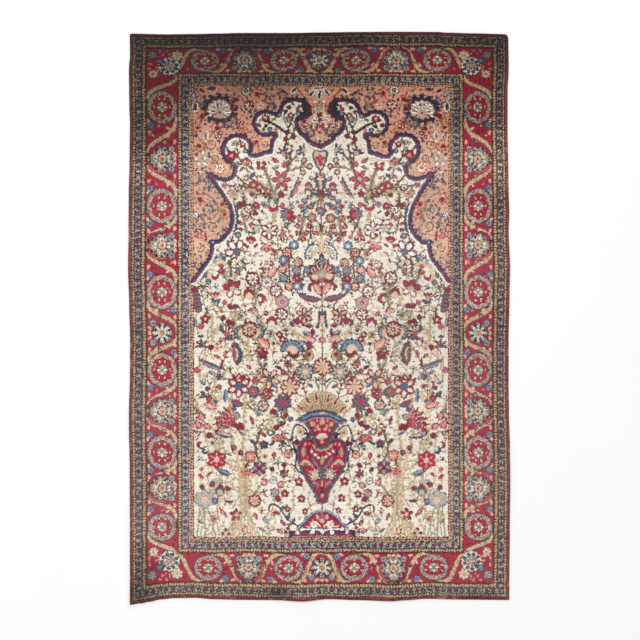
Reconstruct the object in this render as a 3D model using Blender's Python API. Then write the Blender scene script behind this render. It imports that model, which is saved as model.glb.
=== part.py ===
"""A hand-knotted prayer rug that lies flat: knotted body, two overcast sides and two whipped ends.

Metres, +Z up. The rug lies on z = 0 with its head, the end with the niche, towards +Y.
Every piece is laid out on a true rectangle and then drawn onto the real rug, whose edges
wander, whose corners are worn round and whose cloth lifts off the floor in low ripples.
"""

import math

import bmesh
import bpy

# Driving sizes: the mean rectangle of the rug and its thickness.
WIDTH = 1.340
LENGTH = 2.000
THICKNESS = 0.006

# The edge pieces, and the gap that each keeps to its neighbour.
SIDE_CORD_WIDTH = 0.008
HEAD_WHIP_WIDTH = 0.005
FOOT_WHIP_WIDTH = 0.008
EDGE_HEIGHT = 0.0052
GAP = 0.0003

# The knotted body's rim rounds over by this much.
RIM_RADIUS = 0.0022
RIM_SEGMENTS = 2

# A fold sharper than the first shades as a hard edge; the rim stands steeper than the second.
HARD_EDGE = math.radians(50)
RIM_EDGE = math.radians(60)

# Rows of vertices: close together near an edge, then a wide even step.
NEAR_EDGE = (0.004, 0.009, 0.016, 0.030)
STEP = 0.050

# How far an edge's wander reaches into the rug before the lines run straight.
WANDER_REACH = 0.170

# Wander of each edge. Columns: place along the edge, how far the edge stands outside
# the mean rectangle. The sides run from foot to head, the ends from left to right.
LEFT_EDGE = (
    (-1.000, -0.0020), (-0.780, -0.0015), (-0.530, -0.0010), (-0.400, 0.0018),
    (-0.340, 0.0018), (-0.210, -0.0018), (-0.085, -0.0025), (0.045, 0.0010),
    (0.170, 0.0050), (0.300, 0.0030), (0.430, 0.0025), (0.550, -0.0005),
    (0.680, -0.0018), (0.740, 0.0000), (0.870, 0.0018), (0.930, -0.0020),
    (1.000, -0.0010),
)
RIGHT_EDGE = (
    (-1.000, 0.0012), (-0.900, 0.0015), (-0.780, 0.0030), (-0.590, 0.0045),
    (-0.460, 0.0035), (-0.340, 0.0000), (-0.210, -0.0012), (-0.085, -0.0012),
    (0.045, 0.0015), (0.170, 0.0040), (0.300, -0.0008), (0.360, 0.0012),
    (0.480, -0.0018), (0.680, -0.0050), (0.800, -0.0045), (0.870, -0.0008),
    (1.000, -0.0020),
)
HEAD_EDGE = (
    (-0.670, -0.0015), (-0.540, -0.0040), (-0.440, -0.0030), (-0.350, -0.0010),
    (-0.280, 0.0008), (-0.090, 0.0008), (0.000, 0.0024), (0.130, 0.0042),
    (0.260, 0.0050), (0.415, 0.0045), (0.450, 0.0020), (0.540, -0.0005),
    (0.670, -0.0035),
)
FOOT_EDGE = (
    (-0.670, 0.0165), (-0.630, 0.0120), (-0.600, 0.0065), (-0.560, -0.0015),
    (-0.510, -0.0060), (-0.440, -0.0070), (-0.370, -0.0020), (-0.280, 0.0000),
    (-0.150, 0.0010), (-0.060, 0.0055), (0.030, -0.0025), (0.130, 0.0010),
    (0.260, 0.0045), (0.300, 0.0010), (0.380, -0.0035), (0.480, -0.0012),
    (0.670, 0.0004),
)

# Worn corners. Columns: side (-1 left, 1 right), end (-1 foot, 1 head), radius.
WORN_CORNERS = (
    (-1, 1, 0.009),
    (1, 1, 0.017),
    (1, -1, 0.006),
)

# Low ripples. Columns: middle across, middle along, half width across, half width along, lift.
RIPPLES = (
    (-0.10, 0.610, 0.90, 0.075, 0.0026),
    (-0.62, 0.760, 0.34, 0.070, 0.0022),
    (0.62, 0.700, 0.26, 0.060, 0.0016),
    (0.10, 0.930, 0.50, 0.060, 0.0014),
    (-0.55, 0.330, 0.30, 0.080, 0.0014),
    (0.58, 0.060, 0.26, 0.060, 0.0016),
    (-0.06, -0.990, 0.16, 0.110, 0.0034),
    (0.26, -0.990, 0.14, 0.090, 0.0030),
    (-0.67, -1.000, 0.13, 0.110, 0.0040),
    (0.67, -0.560, 0.07, 0.130, 0.0020),
)

# Section of an edge cord or whip: share of its width, share of its height, going round.
EDGE_SECTION = (
    (0.20, 0.00), (0.80, 0.00), (1.00, 0.28), (0.97, 0.66),
    (0.74, 0.97), (0.30, 1.00), (0.04, 0.68), (0.00, 0.28),
)

# Colours as linear red, green, blue, with roughness: the mean tone of each finish.
PILE_TONE = (0.33, 0.17, 0.14, 0.62)
CORD_TONE = (0.21, 0.055, 0.055, 0.70)
WHIP_TONE = (0.15, 0.045, 0.045, 0.75)


def smooth(t):
    """Runs from 0 to 1 with level ends."""
    t = min(max(t, 0.0), 1.0)
    return t * t * (3.0 - 2.0 * t)


def wander(edge, at):
    """Outward stand of an edge at a place along it, smooth between the rows of its table."""
    for (a, first), (b, second) in zip(edge, edge[1:]):
        if at <= b:
            return first + (second - first) * smooth((at - a) / (b - a))
    return edge[-1][1]


def furthest(edge):
    """The furthest that an edge stands outside the mean rectangle."""
    return max(stand for _, stand in edge)


def worn(across, along):
    """Draws a square corner of the rectangle in to its worn round."""
    for side, end, radius in WORN_CORNERS:
        a = (side * across - WIDTH / 2 + radius) / radius
        b = (end * along - LENGTH / 2 + radius) / radius
        if a > 0.0 and b > 0.0:
            draw = max(a, b) / math.hypot(a, b)
            across = side * (WIDTH / 2 - radius + a * draw * radius)
            along = end * (LENGTH / 2 - radius + b * draw * radius)
    return across, along


def lift(across, along):
    """Height of the rug's underside above the floor."""
    total = 0.0
    for middle_across, middle_along, half_across, half_along, height in RIPPLES:
        p = abs(across - middle_across) / half_across
        q = abs(along - middle_along) / half_along
        total += height * smooth(1.0 - p) * smooth(1.0 - q)
    return total


# The rug's frame is centred on its bounding box, so the mean rectangle stands off it a little.
SHIFT_ACROSS = (furthest(LEFT_EDGE) - furthest(RIGHT_EDGE)) / 2
SHIFT_ALONG = (furthest(FOOT_EDGE) - furthest(HEAD_EDGE)) / 2


def lay(across, along, height):
    """Place on the real rug of a point of the true rectangle, height above the rug's underside."""
    across, along = worn(across, along)
    inward = [
        1.0 - smooth(distance / WANDER_REACH)
        for distance in (
            WIDTH / 2 + across,
            WIDTH / 2 - across,
            LENGTH / 2 + along,
            LENGTH / 2 - along,
        )
    ]
    x = across - wander(LEFT_EDGE, along) * inward[0] + wander(RIGHT_EDGE, along) * inward[1]
    y = along - wander(FOOT_EDGE, across) * inward[2] + wander(HEAD_EDGE, across) * inward[3]
    return x + SHIFT_ACROSS, y + SHIFT_ALONG, height + lift(across, along)


def stations(low, high):
    """Places from low to high: close together near both ends, then evenly spread."""
    first, last = low + NEAR_EDGE[-1], high - NEAR_EDGE[-1]
    count = round((last - first) / STEP)
    even = [first + (last - first) * i / count for i in range(count + 1)]
    near = (0.0,) + NEAR_EDGE[:-1]
    return [low + n for n in near] + even + [high - n for n in reversed(near)]


def finish(name, mesh_edit, tone):
    """Makes a named object of a bmesh, with its own material."""
    bmesh.ops.recalc_face_normals(mesh_edit, faces=mesh_edit.faces)
    mesh = bpy.data.meshes.new(name)
    mesh_edit.to_mesh(mesh)
    mesh_edit.free()
    mesh.shade_smooth()
    mesh.set_sharp_from_angle(angle=HARD_EDGE)
    material = bpy.data.materials.new(name)
    material.use_nodes = True
    shader = material.node_tree.nodes["Principled BSDF"]
    shader.inputs["Base Color"].default_value = (*tone[:3], 1.0)
    shader.inputs["Roughness"].default_value = tone[3]
    mesh.materials.append(material)
    piece = bpy.data.objects.new(name, mesh)
    bpy.context.scene.collection.objects.link(piece)
    return piece


def knotted_body(name):
    """The pile and its foundation: one slab with a rounded upper rim."""
    inner_side = WIDTH / 2 - SIDE_CORD_WIDTH - GAP
    columns = stations(-inner_side, inner_side)
    rows = stations(
        -LENGTH / 2 + FOOT_WHIP_WIDTH + GAP, LENGTH / 2 - HEAD_WHIP_WIDTH - GAP
    )
    slab = bmesh.new()
    bmesh.ops.create_grid(
        slab, x_segments=len(columns) - 1, y_segments=len(rows) - 1, size=1.0
    )
    # The grid's vertices run across first, so their order gives each one's column and row.
    for index, vertex in enumerate(sorted(slab.verts, key=lambda v: (round(v.co.y, 6), v.co.x))):
        row, column = divmod(index, len(columns))
        vertex.co = lay(columns[column], rows[row], 0.0)
    made = bmesh.ops.extrude_face_region(slab, geom=slab.faces[:])
    raised = [v for v in made["geom"] if isinstance(v, bmesh.types.BMVert)]
    bmesh.ops.translate(slab, verts=raised, vec=(0.0, 0.0, THICKNESS))
    upper = set(raised)
    rim = [
        e for e in slab.edges
        if all(v in upper for v in e.verts) and e.calc_face_angle(0.0) > RIM_EDGE
    ]
    bmesh.ops.bevel(
        slab, geom=rim, offset=RIM_RADIUS, segments=RIM_SEGMENTS, profile=0.5, affect="EDGES",
        material=-1,
    )
    return finish(name, slab, PILE_TONE)


def edge_piece(name, low, width, places, point_at, tone):
    """A cord or whip: its section carried along the rug's edge, closed at both ends.

    low is the section's outer line across the edge, width its width, places the stations
    along the edge, and point_at turns (across the edge, along it, height) into a point.
    """
    cord = bmesh.new()
    rings = [
        [
            cord.verts.new(point_at(low + share * width, place, tall * EDGE_HEIGHT))
            for share, tall in EDGE_SECTION
        ]
        for place in places
    ]
    loops = []
    for ring in rings:
        loops.append([cord.edges.new((a, b)) for a, b in zip(ring, ring[1:] + ring[:1])])
    for first, second in zip(loops, loops[1:]):
        bmesh.ops.bridge_loops(cord, edges=first + second)
    cord.faces.new(rings[0])
    cord.faces.new(rings[-1])
    return finish(name, cord, tone)


def side_cord(name, side):
    """The overcast cord along one long side, from foot to head."""
    inner_rows = stations(
        -LENGTH / 2 + FOOT_WHIP_WIDTH + GAP, LENGTH / 2 - HEAD_WHIP_WIDTH - GAP
    )
    places = [-LENGTH / 2, -LENGTH / 2 + FOOT_WHIP_WIDTH / 2, *inner_rows, LENGTH / 2]
    return edge_piece(
        name,
        -WIDTH / 2,
        SIDE_CORD_WIDTH,
        places,
        lambda across, along, height: lay(-side * across, along, height),
        CORD_TONE,
    )


def end_whip(name, end, width):
    """The whipped end between the two side cords."""
    inner_side = WIDTH / 2 - SIDE_CORD_WIDTH - GAP
    return edge_piece(
        name,
        -LENGTH / 2,
        width,
        stations(-inner_side, inner_side),
        lambda across, along, height: lay(along, -end * across, height),
        WHIP_TONE,
    )


def main():
    """Empties the scene and makes the rug's five pieces."""
    for old in list(bpy.data.objects):
        bpy.data.objects.remove(old)
    knotted_body("rug_body")
    side_cord("side_cord_left", -1)
    side_cord("side_cord_right", 1)
    end_whip("end_whip_foot", -1, FOOT_WHIP_WIDTH)
    end_whip("end_whip_head", 1, HEAD_WHIP_WIDTH)


main()
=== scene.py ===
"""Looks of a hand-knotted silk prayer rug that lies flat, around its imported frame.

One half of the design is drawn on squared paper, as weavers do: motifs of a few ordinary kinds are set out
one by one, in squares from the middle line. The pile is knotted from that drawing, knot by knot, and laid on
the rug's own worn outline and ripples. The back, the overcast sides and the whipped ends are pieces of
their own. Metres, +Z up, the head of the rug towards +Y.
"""
import logging
import math
from dataclasses import dataclass
from enum import Enum, IntEnum
from typing import Sequence

import bmesh
import bpy
import numpy as np
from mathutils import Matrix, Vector


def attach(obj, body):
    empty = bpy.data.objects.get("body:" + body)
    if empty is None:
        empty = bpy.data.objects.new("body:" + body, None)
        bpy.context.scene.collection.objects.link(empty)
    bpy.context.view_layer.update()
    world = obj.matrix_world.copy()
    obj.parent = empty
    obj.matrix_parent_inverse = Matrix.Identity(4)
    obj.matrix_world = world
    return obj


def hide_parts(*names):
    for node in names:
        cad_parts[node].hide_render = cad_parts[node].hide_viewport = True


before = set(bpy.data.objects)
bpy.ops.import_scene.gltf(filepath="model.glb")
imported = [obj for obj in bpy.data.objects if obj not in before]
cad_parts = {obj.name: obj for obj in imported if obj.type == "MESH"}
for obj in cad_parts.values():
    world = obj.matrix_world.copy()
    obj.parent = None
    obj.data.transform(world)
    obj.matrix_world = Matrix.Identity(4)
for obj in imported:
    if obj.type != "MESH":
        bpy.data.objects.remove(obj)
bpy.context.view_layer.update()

LOG = logging.getLogger("prayer_rug")

Point = tuple[float, float]
Rows = Sequence[Sequence[float]]


# --- How the rug lies ---

def smooth(share: np.ndarray | float) -> np.ndarray:
    """Ease a share from 0 to 1 in and out, held at both ends."""
    held = np.clip(share, 0.0, 1.0)
    return held * held * (3.0 - 2.0 * held)


@dataclass(frozen=True)
class Lie:
    """The mean rectangle of the rug and how the real one departs from it."""

    width: float = 1.340
    length: float = 2.000
    side_cord: float = 0.008
    head_whip: float = 0.005
    foot_whip: float = 0.008
    edge_height: float = 0.0052
    gap: float = 0.0003
    reach: float = 0.170
    # Wander of each edge: place along it, how far it stands outside the mean rectangle.
    left: Rows = (
        (-1.000, -0.0020), (-0.780, -0.0015), (-0.530, -0.0010), (-0.400, 0.0018), (-0.340, 0.0018),
        (-0.210, -0.0018), (-0.085, -0.0025), (0.045, 0.0010), (0.170, 0.0050), (0.300, 0.0030),
        (0.430, 0.0025), (0.550, -0.0005), (0.680, -0.0018), (0.740, 0.0000), (0.870, 0.0018),
        (0.930, -0.0020), (1.000, -0.0010),
    )
    right: Rows = (
        (-1.000, 0.0012), (-0.900, 0.0015), (-0.780, 0.0030), (-0.590, 0.0045), (-0.460, 0.0035),
        (-0.340, 0.0000), (-0.210, -0.0012), (-0.085, -0.0012), (0.045, 0.0015), (0.170, 0.0040),
        (0.300, -0.0008), (0.360, 0.0012), (0.480, -0.0018), (0.680, -0.0050), (0.800, -0.0045),
        (0.870, -0.0008), (1.000, -0.0020),
    )
    head: Rows = (
        (-0.670, -0.0015), (-0.540, -0.0040), (-0.440, -0.0030), (-0.350, -0.0010), (-0.280, 0.0008),
        (-0.090, 0.0008), (0.000, 0.0024), (0.130, 0.0042), (0.260, 0.0050), (0.415, 0.0045),
        (0.450, 0.0020), (0.540, -0.0005), (0.670, -0.0035),
    )
    foot: Rows = (
        (-0.670, 0.0165), (-0.630, 0.0120), (-0.600, 0.0065), (-0.560, -0.0015), (-0.510, -0.0060),
        (-0.440, -0.0070), (-0.370, -0.0020), (-0.280, 0.0000), (-0.150, 0.0010), (-0.060, 0.0055),
        (0.030, -0.0025), (0.130, 0.0010), (0.260, 0.0045), (0.300, 0.0010), (0.380, -0.0035),
        (0.480, -0.0012), (0.670, 0.0004),
    )
    # Corners worn round: side, end, radius.
    corners: Rows = ((-1, 1, 0.009), (1, 1, 0.017), (1, -1, 0.006))
    # Ripples: middle across and along, half of the reach across and along, height.
    ripples: Rows = (
        (-0.10, 0.610, 0.90, 0.075, 0.0026), (-0.62, 0.760, 0.34, 0.070, 0.0022),
        (0.62, 0.700, 0.26, 0.060, 0.0016), (0.10, 0.930, 0.50, 0.060, 0.0014),
        (-0.55, 0.330, 0.30, 0.080, 0.0014), (0.58, 0.060, 0.26, 0.060, 0.0016),
        (-0.06, -0.990, 0.16, 0.110, 0.0034), (0.26, -0.990, 0.14, 0.090, 0.0030),
        (-0.67, -1.000, 0.13, 0.110, 0.0040), (0.67, -0.560, 0.07, 0.130, 0.0020),
    )

    @staticmethod
    def wander(edge: Rows, place: np.ndarray) -> np.ndarray:
        """How far an edge stands outside the mean rectangle, eased from row to row.

        Args:
            edge: rows of place along the edge and how far it stands out there.
            place: places along the edge.

        Returns:
            How far the edge stands out at each place.
        """
        places, stands = np.array(edge).T
        row = np.clip(np.searchsorted(places, place, side="right") - 1, 0, len(places) - 2)
        share = (place - places[row]) / (places[row + 1] - places[row])
        return stands[row] + (stands[row + 1] - stands[row]) * smooth(share)

    def lay(self, across: np.ndarray, along: np.ndarray, height: np.ndarray) -> np.ndarray:
        """Draw points of the true rectangle onto the real rug.

        Args:
            across: places across the rug, from its middle.
            along: places along the rug, from its middle.
            height: heights over the floor where the rug lies flat.

        Returns:
            One row of x, y and z for each point.
        """
        across, along = np.array(across, float), np.array(along, float)
        for side, end, radius in self.corners:
            into_side = (side * across - self.width / 2 + radius) / radius
            into_end = (end * along - self.length / 2 + radius) / radius
            inside = (into_side > 0) & (into_end > 0)
            draw = np.where(inside, np.maximum(into_side, into_end) / np.maximum(
                np.hypot(into_side, into_end), 1e-9), 1.0)
            across = np.where(inside, side * (self.width / 2 - radius + into_side * draw * radius), across)
            along = np.where(inside, end * (self.length / 2 - radius + into_end * draw * radius), along)
        half_width, half_length = self.width / 2, self.length / 2
        x = (across
             - self.wander(self.left, along) * (1 - smooth((half_width + across) / self.reach))
             + self.wander(self.right, along) * (1 - smooth((half_width - across) / self.reach)))
        y = (along
             - self.wander(self.foot, across) * (1 - smooth((half_length + along) / self.reach))
             + self.wander(self.head, across) * (1 - smooth((half_length - along) / self.reach)))
        furthest = {name: max(stand for _, stand in getattr(self, name))
                    for name in ("left", "right", "head", "foot")}
        z = np.array(height, float) + np.zeros_like(across)
        for mid_across, mid_along, half_across, half_along, rise in self.ripples:
            z += (rise * smooth(1 - abs(across - mid_across) / half_across)
                  * smooth(1 - abs(along - mid_along) / half_along))
        return np.stack((x + (furthest["left"] - furthest["right"]) / 2,
                         y + (furthest["foot"] - furthest["head"]) / 2, z), axis=-1)


LIE = Lie()


# --- Silks ---

class Yarn(IntEnum):
    """The dyed silks that the knots are tied with."""

    IVORY, WHITE, TAN, KHAKI, PEACH, SALMON, ORANGE, PINK, ROSE, CRIMSON, OXBLOOD, PLUM = range(12)
    MAGENTA, LILAC, SKY, BLUE, NAVY, TEAL, SLATE, GREY, BROWN, UMBER, SAGE, WINE = range(12, 24)


(IVORY, WHITE, TAN, KHAKI, PEACH, SALMON, ORANGE, PINK, ROSE, CRIMSON, OXBLOOD, PLUM, MAGENTA, LILAC, SKY,
 BLUE, NAVY, TEAL, SLATE, GREY, BROWN, UMBER, SAGE, WINE) = Yarn

# Each dye in daylight, as red, green and blue of 255.
DYES: dict[Yarn, tuple[int, int, int]] = {
    IVORY: (234, 225, 210), WHITE: (241, 235, 223), TAN: (202, 176, 140), KHAKI: (134, 114, 88),
    PEACH: (226, 190, 164), SALMON: (217, 168, 148), ORANGE: (182, 98, 66), PINK: (216, 150, 146),
    ROSE: (186, 92, 100), CRIMSON: (174, 36, 68), OXBLOOD: (84, 32, 38), PLUM: (94, 40, 72),
    MAGENTA: (152, 46, 92), LILAC: (168, 146, 150), SKY: (142, 158, 170), BLUE: (80, 98, 126),
    NAVY: (48, 48, 72), TEAL: (68, 92, 100), SLATE: (104, 100, 112), GREY: (188, 178, 162),
    BROWN: (92, 66, 48), UMBER: (48, 34, 32), SAGE: (160, 156, 122), WINE: (134, 32, 50),
}

# The silk that a figure is outlined with, where it isn't left plain.
OUTLINES: dict[Yarn, Yarn] = {
    CRIMSON: OXBLOOD, WINE: OXBLOOD, ROSE: WINE, PINK: WINE, MAGENTA: PLUM, LILAC: SLATE, SKY: BLUE,
    BLUE: NAVY, SLATE: NAVY, TEAL: NAVY, GREY: SLATE, PEACH: TAN, WHITE: TAN,
}


# --- The drawing on squared paper ---

SQUARE = 0.003526         # one square of the paper, on the rug
PARTS = 3                 # parts of a square that the brush can tell apart
FIELD_SIDE = 127.3        # the field's edges, in squares from the middle line and the middle row
FIELD_HEAD = 229.65
FIELD_FOOT = -220.65
BORDER = 64.6             # depth of all borders together
FAR = 1e9                 # farther than any square
LINE_STEPS = 10           # steps of a smooth line between two of its points


@dataclass
class View:
    """A window of the paper: its rows and columns, and where its squares lie."""

    rows: slice
    columns: slice
    out: np.ndarray
    up: np.ndarray


@dataclass
class Trace:
    """Squares near a line: how far to the left of it, and how far along it."""

    view: View
    off: np.ndarray
    along: np.ndarray
    length: float


def heading(turn: float) -> Point:
    """One square's way out and up at a turn, which is in degrees from the head towards the side."""
    return math.sin(math.radians(turn)), math.cos(math.radians(turn))


def lengths(line: np.ndarray) -> np.ndarray:
    """How far along a line each of its points lies."""
    return np.concatenate(((0.0,), np.cumsum(np.hypot(*np.diff(line, axis=0).T))))


def smooth_line(points: Sequence[Point]) -> np.ndarray:
    """A smooth line through given points.

    Args:
        points: the points, in squares out and up.

    Returns:
        Rows of out and up along the line.
    """
    given = np.array(points, float)
    if len(given) == 2:
        return given
    padded = np.vstack((2 * given[0] - given[1], given, 2 * given[-1] - given[-2]))
    share = np.linspace(0, 1, LINE_STEPS, endpoint=False)[:, None]
    parts = []
    for before, start, end, after in zip(padded[:-3], padded[1:-2], padded[2:-1], padded[3:]):
        parts.append(0.5 * (2 * start + (end - before) * share
                            + (2 * before - 5 * start + 4 * end - after) * share ** 2
                            + (3 * start - before - 3 * end + after) * share ** 3))
    return np.vstack((*parts, given[-1:]))


def arc(out: float, up: float, half_out: float, half_up: float, start: float, end: float) -> list[Point]:
    """Points along a round stretch.

    Args:
        out, up: its centre, in squares.
        half_out: its radius outwards.
        half_up: its radius upwards.
        start: the bearing that it starts at, in degrees from the head towards the side.
        end: the bearing that it ends at.

    Returns:
        A point about every 20 degrees.
    """
    steps = max(2, round(abs(end - start) / 20))
    ways = [heading(start + (end - start) * step / steps) for step in range(steps + 1)]
    return [(out + half_out * sine, up + half_up * cosine) for sine, cosine in ways]


def fold(bearing: np.ndarray, count: int, spread: float) -> np.ndarray:
    """Bearing of each square from the nearest of several petals.

    Args:
        bearing: bearing from the middle of the spread, in radians.
        count: how many petals there are.
        spread: degrees from the first petal to the last, or 360 for a full ring.

    Returns:
        Bearing from the nearest petal, in radians.
    """
    if spread >= 360:
        step = math.tau / count
        return bearing - np.round(bearing / step) * step
    step = math.radians(spread) / max(count - 1, 1)
    first = -math.radians(spread) / 2 if count > 1 else 0.0
    petal = np.clip(np.round((bearing - first) / step), 0, count - 1) if step else 0.0
    return bearing - first - petal * step


class Drawing:
    """One half of the design, from its middle line outwards, that the other half mirrors."""

    def __init__(self) -> None:
        """Lay out the empty paper."""
        self.out = (np.arange(round((FIELD_SIDE + BORDER + 1) * PARTS)) + 0.5) / PARTS
        low = FIELD_FOOT - BORDER
        self.up = low + (np.arange(round((FIELD_HEAD + BORDER - low) * PARTS)) + 0.5) / PARTS
        self.yarn = np.zeros((len(self.up), len(self.out)), np.uint8)
        self.over: Yarn | None = None          # the only silk that may be painted over, if any

    def window(self, points: np.ndarray, reach: float = 0.0) -> View:
        """The window of the paper around points.

        Args:
            points: rows of out and up.
            reach: how far round them the window goes.

        Returns:
            The window, which is empty off the paper.
        """
        low, high = points.min(axis=0) - reach, points.max(axis=0) + reach
        columns = slice(*np.searchsorted(self.out, (low[0], high[0])))
        rows = slice(*np.searchsorted(self.up, (low[1], high[1])))
        out, up = np.meshgrid(self.out[columns], self.up[rows])
        return View(rows, columns, out, up)

    def fill(self, view: View, mask: np.ndarray, yarn: Yarn) -> None:
        """Paint the squares of a window that a mask picks."""
        window = self.yarn[view.rows, view.columns]
        window[mask if self.over is None else mask & (window == self.over)] = yarn

    def bare(self, out: float, up: float, reach: float, ground: Yarn) -> bool:
        """Whether the paper round a point is all of one silk."""
        view = self.window(np.array(((out, up),)), reach)
        return view.out.size > 0 and bool((self.yarn[view.rows, view.columns] == ground).all())

    def around(self, out: float, up: float, reach: float, turn: float = 0.0,
               squeeze: float = 1.0) -> tuple[View, np.ndarray, np.ndarray]:
        """Squares near a point, with their distance and bearing from it.

        Args:
            out, up: the point, in squares.
            reach: how far round it.
            turn: degrees from the head outwards that bearings start from.
            squeeze: how much shorter the turn's direction is than the direction across it.

        Returns:
            The window, the distances and the bearings in radians.
        """
        view = self.window(np.array(((out, up),)), reach)
        sine, cosine = heading(turn)
        d_out, d_up = view.out - out, view.up - up
        ahead, aside = (d_out * sine + d_up * cosine) / squeeze, d_out * cosine - d_up * sine
        return view, np.hypot(ahead, aside), np.arctan2(aside, ahead)

    def disc(self, out: float, up: float, radius: float, yarn: Yarn, lobes: int = 0, dip: float = 0.14,
             turn: float = 0.0, spread: float = 360.0, squeeze: float = 1.0) -> None:
        """Paint a round or scalloped disc, or a sector of one.

        Args:
            out, up: its centre, in squares.
            radius: its radius in squares.
            yarn: its silk.
            lobes: scallops of its rim in a full turn.
            dip: depth of a scallop as a share of the radius.
            turn: degrees from the head outwards that it faces.
            spread: degrees that the sector spans.
            squeeze: height along the turn as a share of the width.
        """
        view, distance, bearing = self.around(out, up, radius * 1.02, turn, squeeze)
        rim = radius * (1 - dip + dip * abs(np.cos(lobes * bearing / 2))) if lobes else radius
        self.fill(view, (distance < rim) & (abs(bearing) <= math.radians(spread) / 2), yarn)

    def petals(self, out: float, up: float, count: int, start: float, end: float, half_width: float,
               yarn: Yarn, turn: float = 0.0, spread: float = 360.0, point: float = 1.0) -> None:
        """Paint petals that stand round a point.

        Args:
            out, up: the point, in squares.
            count: how many petals.
            start: how far from the point they start.
            end: how far from it they end.
            half_width: half of a petal's width.
            yarn: their silk.
            turn: degrees from the head outwards that the middle of them faces.
            spread: degrees from the first to the last.
            point: 0.5 for blunt petals, 1 for leaf-shaped ones, more for pointed ones.
        """
        view, distance, bearing = self.around(out, up, end, turn)
        own = fold(bearing, count, spread)
        ahead, aside = distance * np.cos(own), distance * np.sin(own)
        share = np.clip((ahead - start) / (end - start), 0, 1)
        shape = np.sin(math.pi * share ** 1.25) ** point
        self.fill(view, (share > 0) & (share < 1) & (abs(aside) < half_width * shape), yarn)

    def dots(self, out: float, up: float, count: int, ring: float, radius: float, yarn: Yarn,
             turn: float = 0.0, spread: float = 360.0, squeeze: float = 1.0) -> None:
        """Paint small dots on a ring round a point; the arguments are those of petals and disc."""
        view, distance, bearing = self.around(out, up, ring + radius, turn, squeeze)
        own = fold(bearing, count, spread)
        ahead, aside = distance * np.cos(own) - ring, distance * np.sin(own)
        self.fill(view, np.hypot(ahead, aside) < radius, yarn)

    def area(self, line: np.ndarray, yarn: Yarn) -> None:
        """Paint all squares inside a closed line."""
        view = self.window(line)
        mask = np.zeros(view.out.shape, bool)
        ups, outs = view.up[:, 0], view.out[0]
        for (out_a, up_a), (out_b, up_b) in zip(line, np.roll(line, -1, axis=0)):
            rows = (ups >= min(up_a, up_b)) & (ups < max(up_a, up_b))
            if rows.any():
                crossing = out_a + (ups[rows] - up_a) * (out_b - out_a) / (up_b - up_a)
                mask[rows] ^= outs[None, :] < crossing[:, None]
        self.fill(view, mask, yarn)

    def follow(self, line: np.ndarray, reach: float) -> Trace:
        """Find every square near a line.

        Args:
            line: rows of out and up along it.
            reach: how far from it a square may lie.

        Returns:
            The squares with their distances; off is plus to the left of the way.
        """
        way = lengths(line)
        count = max(3, round(way[-1] / 0.4) + 1)
        places = np.linspace(0, way[-1], count)
        even = np.stack([np.interp(places, way, line[:, axis]) for axis in (0, 1)], axis=-1)
        ahead = np.gradient(even, axis=0)
        view = self.window(even, reach)
        best = np.full(view.out.shape, FAR)
        nearest = np.zeros(view.out.shape, int)
        chunk = 24
        for first in range(0, count, chunk):
            some = even[first:first + chunk]
            part = self.window(some, reach)
            rows = slice(part.rows.start - view.rows.start, part.rows.stop - view.rows.start)
            columns = slice(part.columns.start - view.columns.start, part.columns.stop - view.columns.start)
            if not part.out.size:
                continue
            squared = ((part.out[..., None] - some[:, 0]) ** 2 + (part.up[..., None] - some[:, 1]) ** 2)
            own, least = squared.argmin(axis=-1), squared.min(axis=-1)
            closer = least < best[rows, columns]
            best[rows, columns][closer] = least[closer]
            nearest[rows, columns][closer] = own[closer] + first
        left = (ahead[nearest, 0] * (view.up - even[nearest, 1])
                - ahead[nearest, 1] * (view.out - even[nearest, 0]))
        return Trace(view, np.sqrt(best) * np.where(left < 0, -1, 1), nearest / (count - 1), way[-1])

    def outline(self, ground: Yarn, reach: int = 2) -> None:
        """Outline every figure that stands on a ground.

        Args:
            ground: the silk of the ground, which the outlines are worked on.
            reach: how many parts of a square wide they are.
        """
        table = np.arange(len(Yarn), dtype=np.uint8)
        for yarn, edge in OUTLINES.items():
            table[yarn] = edge
        figures = self.yarn.copy()
        for step in range(1, reach + 1):
            for axis, shift in ((0, step), (0, -step), (1, step), (1, -step)):
                beside = np.roll(figures, shift, axis=axis)
                outlined = (self.yarn == ground) & (beside != ground) & (table[beside] != beside)
                self.yarn[outlined] = table[beside[outlined]]

    def stroke(self, line: np.ndarray, width: float, yarn: Yarn, shift: float = 0.0, teeth: float = 0.0,
               pitch: float = 4.0, dash: float = 1.0) -> None:
        """Paint a band along a line.

        Args:
            line: rows of out and up along it.
            width: the band's width in squares.
            yarn: its silk.
            shift: how far to the left of the line its middle runs.
            teeth: height of the teeth on its left side.
            pitch: squares from tooth to tooth or dash to dash.
            dash: share of the pitch that is painted.
        """
        trace = self.follow(line, width / 2 + abs(shift) + abs(teeth) + 1)
        phase = (trace.along * trace.length / pitch) % 1
        side = trace.off - shift
        high = width / 2 + teeth * (1 - abs(2 * phase - 1))
        self.fill(trace.view, (side < high) & (side > -width / 2) & (phase <= dash), yarn)


# --- Motifs ---

@dataclass(frozen=True)
class Motif:
    """One figure of the drawing: where it stands and its size, in squares.

    The turn of those that face a way is in degrees from the head towards the side.
    """

    out: float
    up: float
    size: float

    def draw(self, drawing: Drawing) -> None:
        """Paint the figure."""
        raise NotImplementedError


@dataclass(frozen=True)
class Berry(Motif):
    """A round bud, with or without a heart of another silk."""

    yarn: Yarn = WINE
    heart: Yarn | None = None

    def draw(self, drawing: Drawing) -> None:
        """Paint the bud."""
        drawing.disc(self.out, self.up, self.size, self.yarn)
        if self.heart is not None:
            drawing.disc(self.out, self.up, self.size * 0.5, self.heart)


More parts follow.
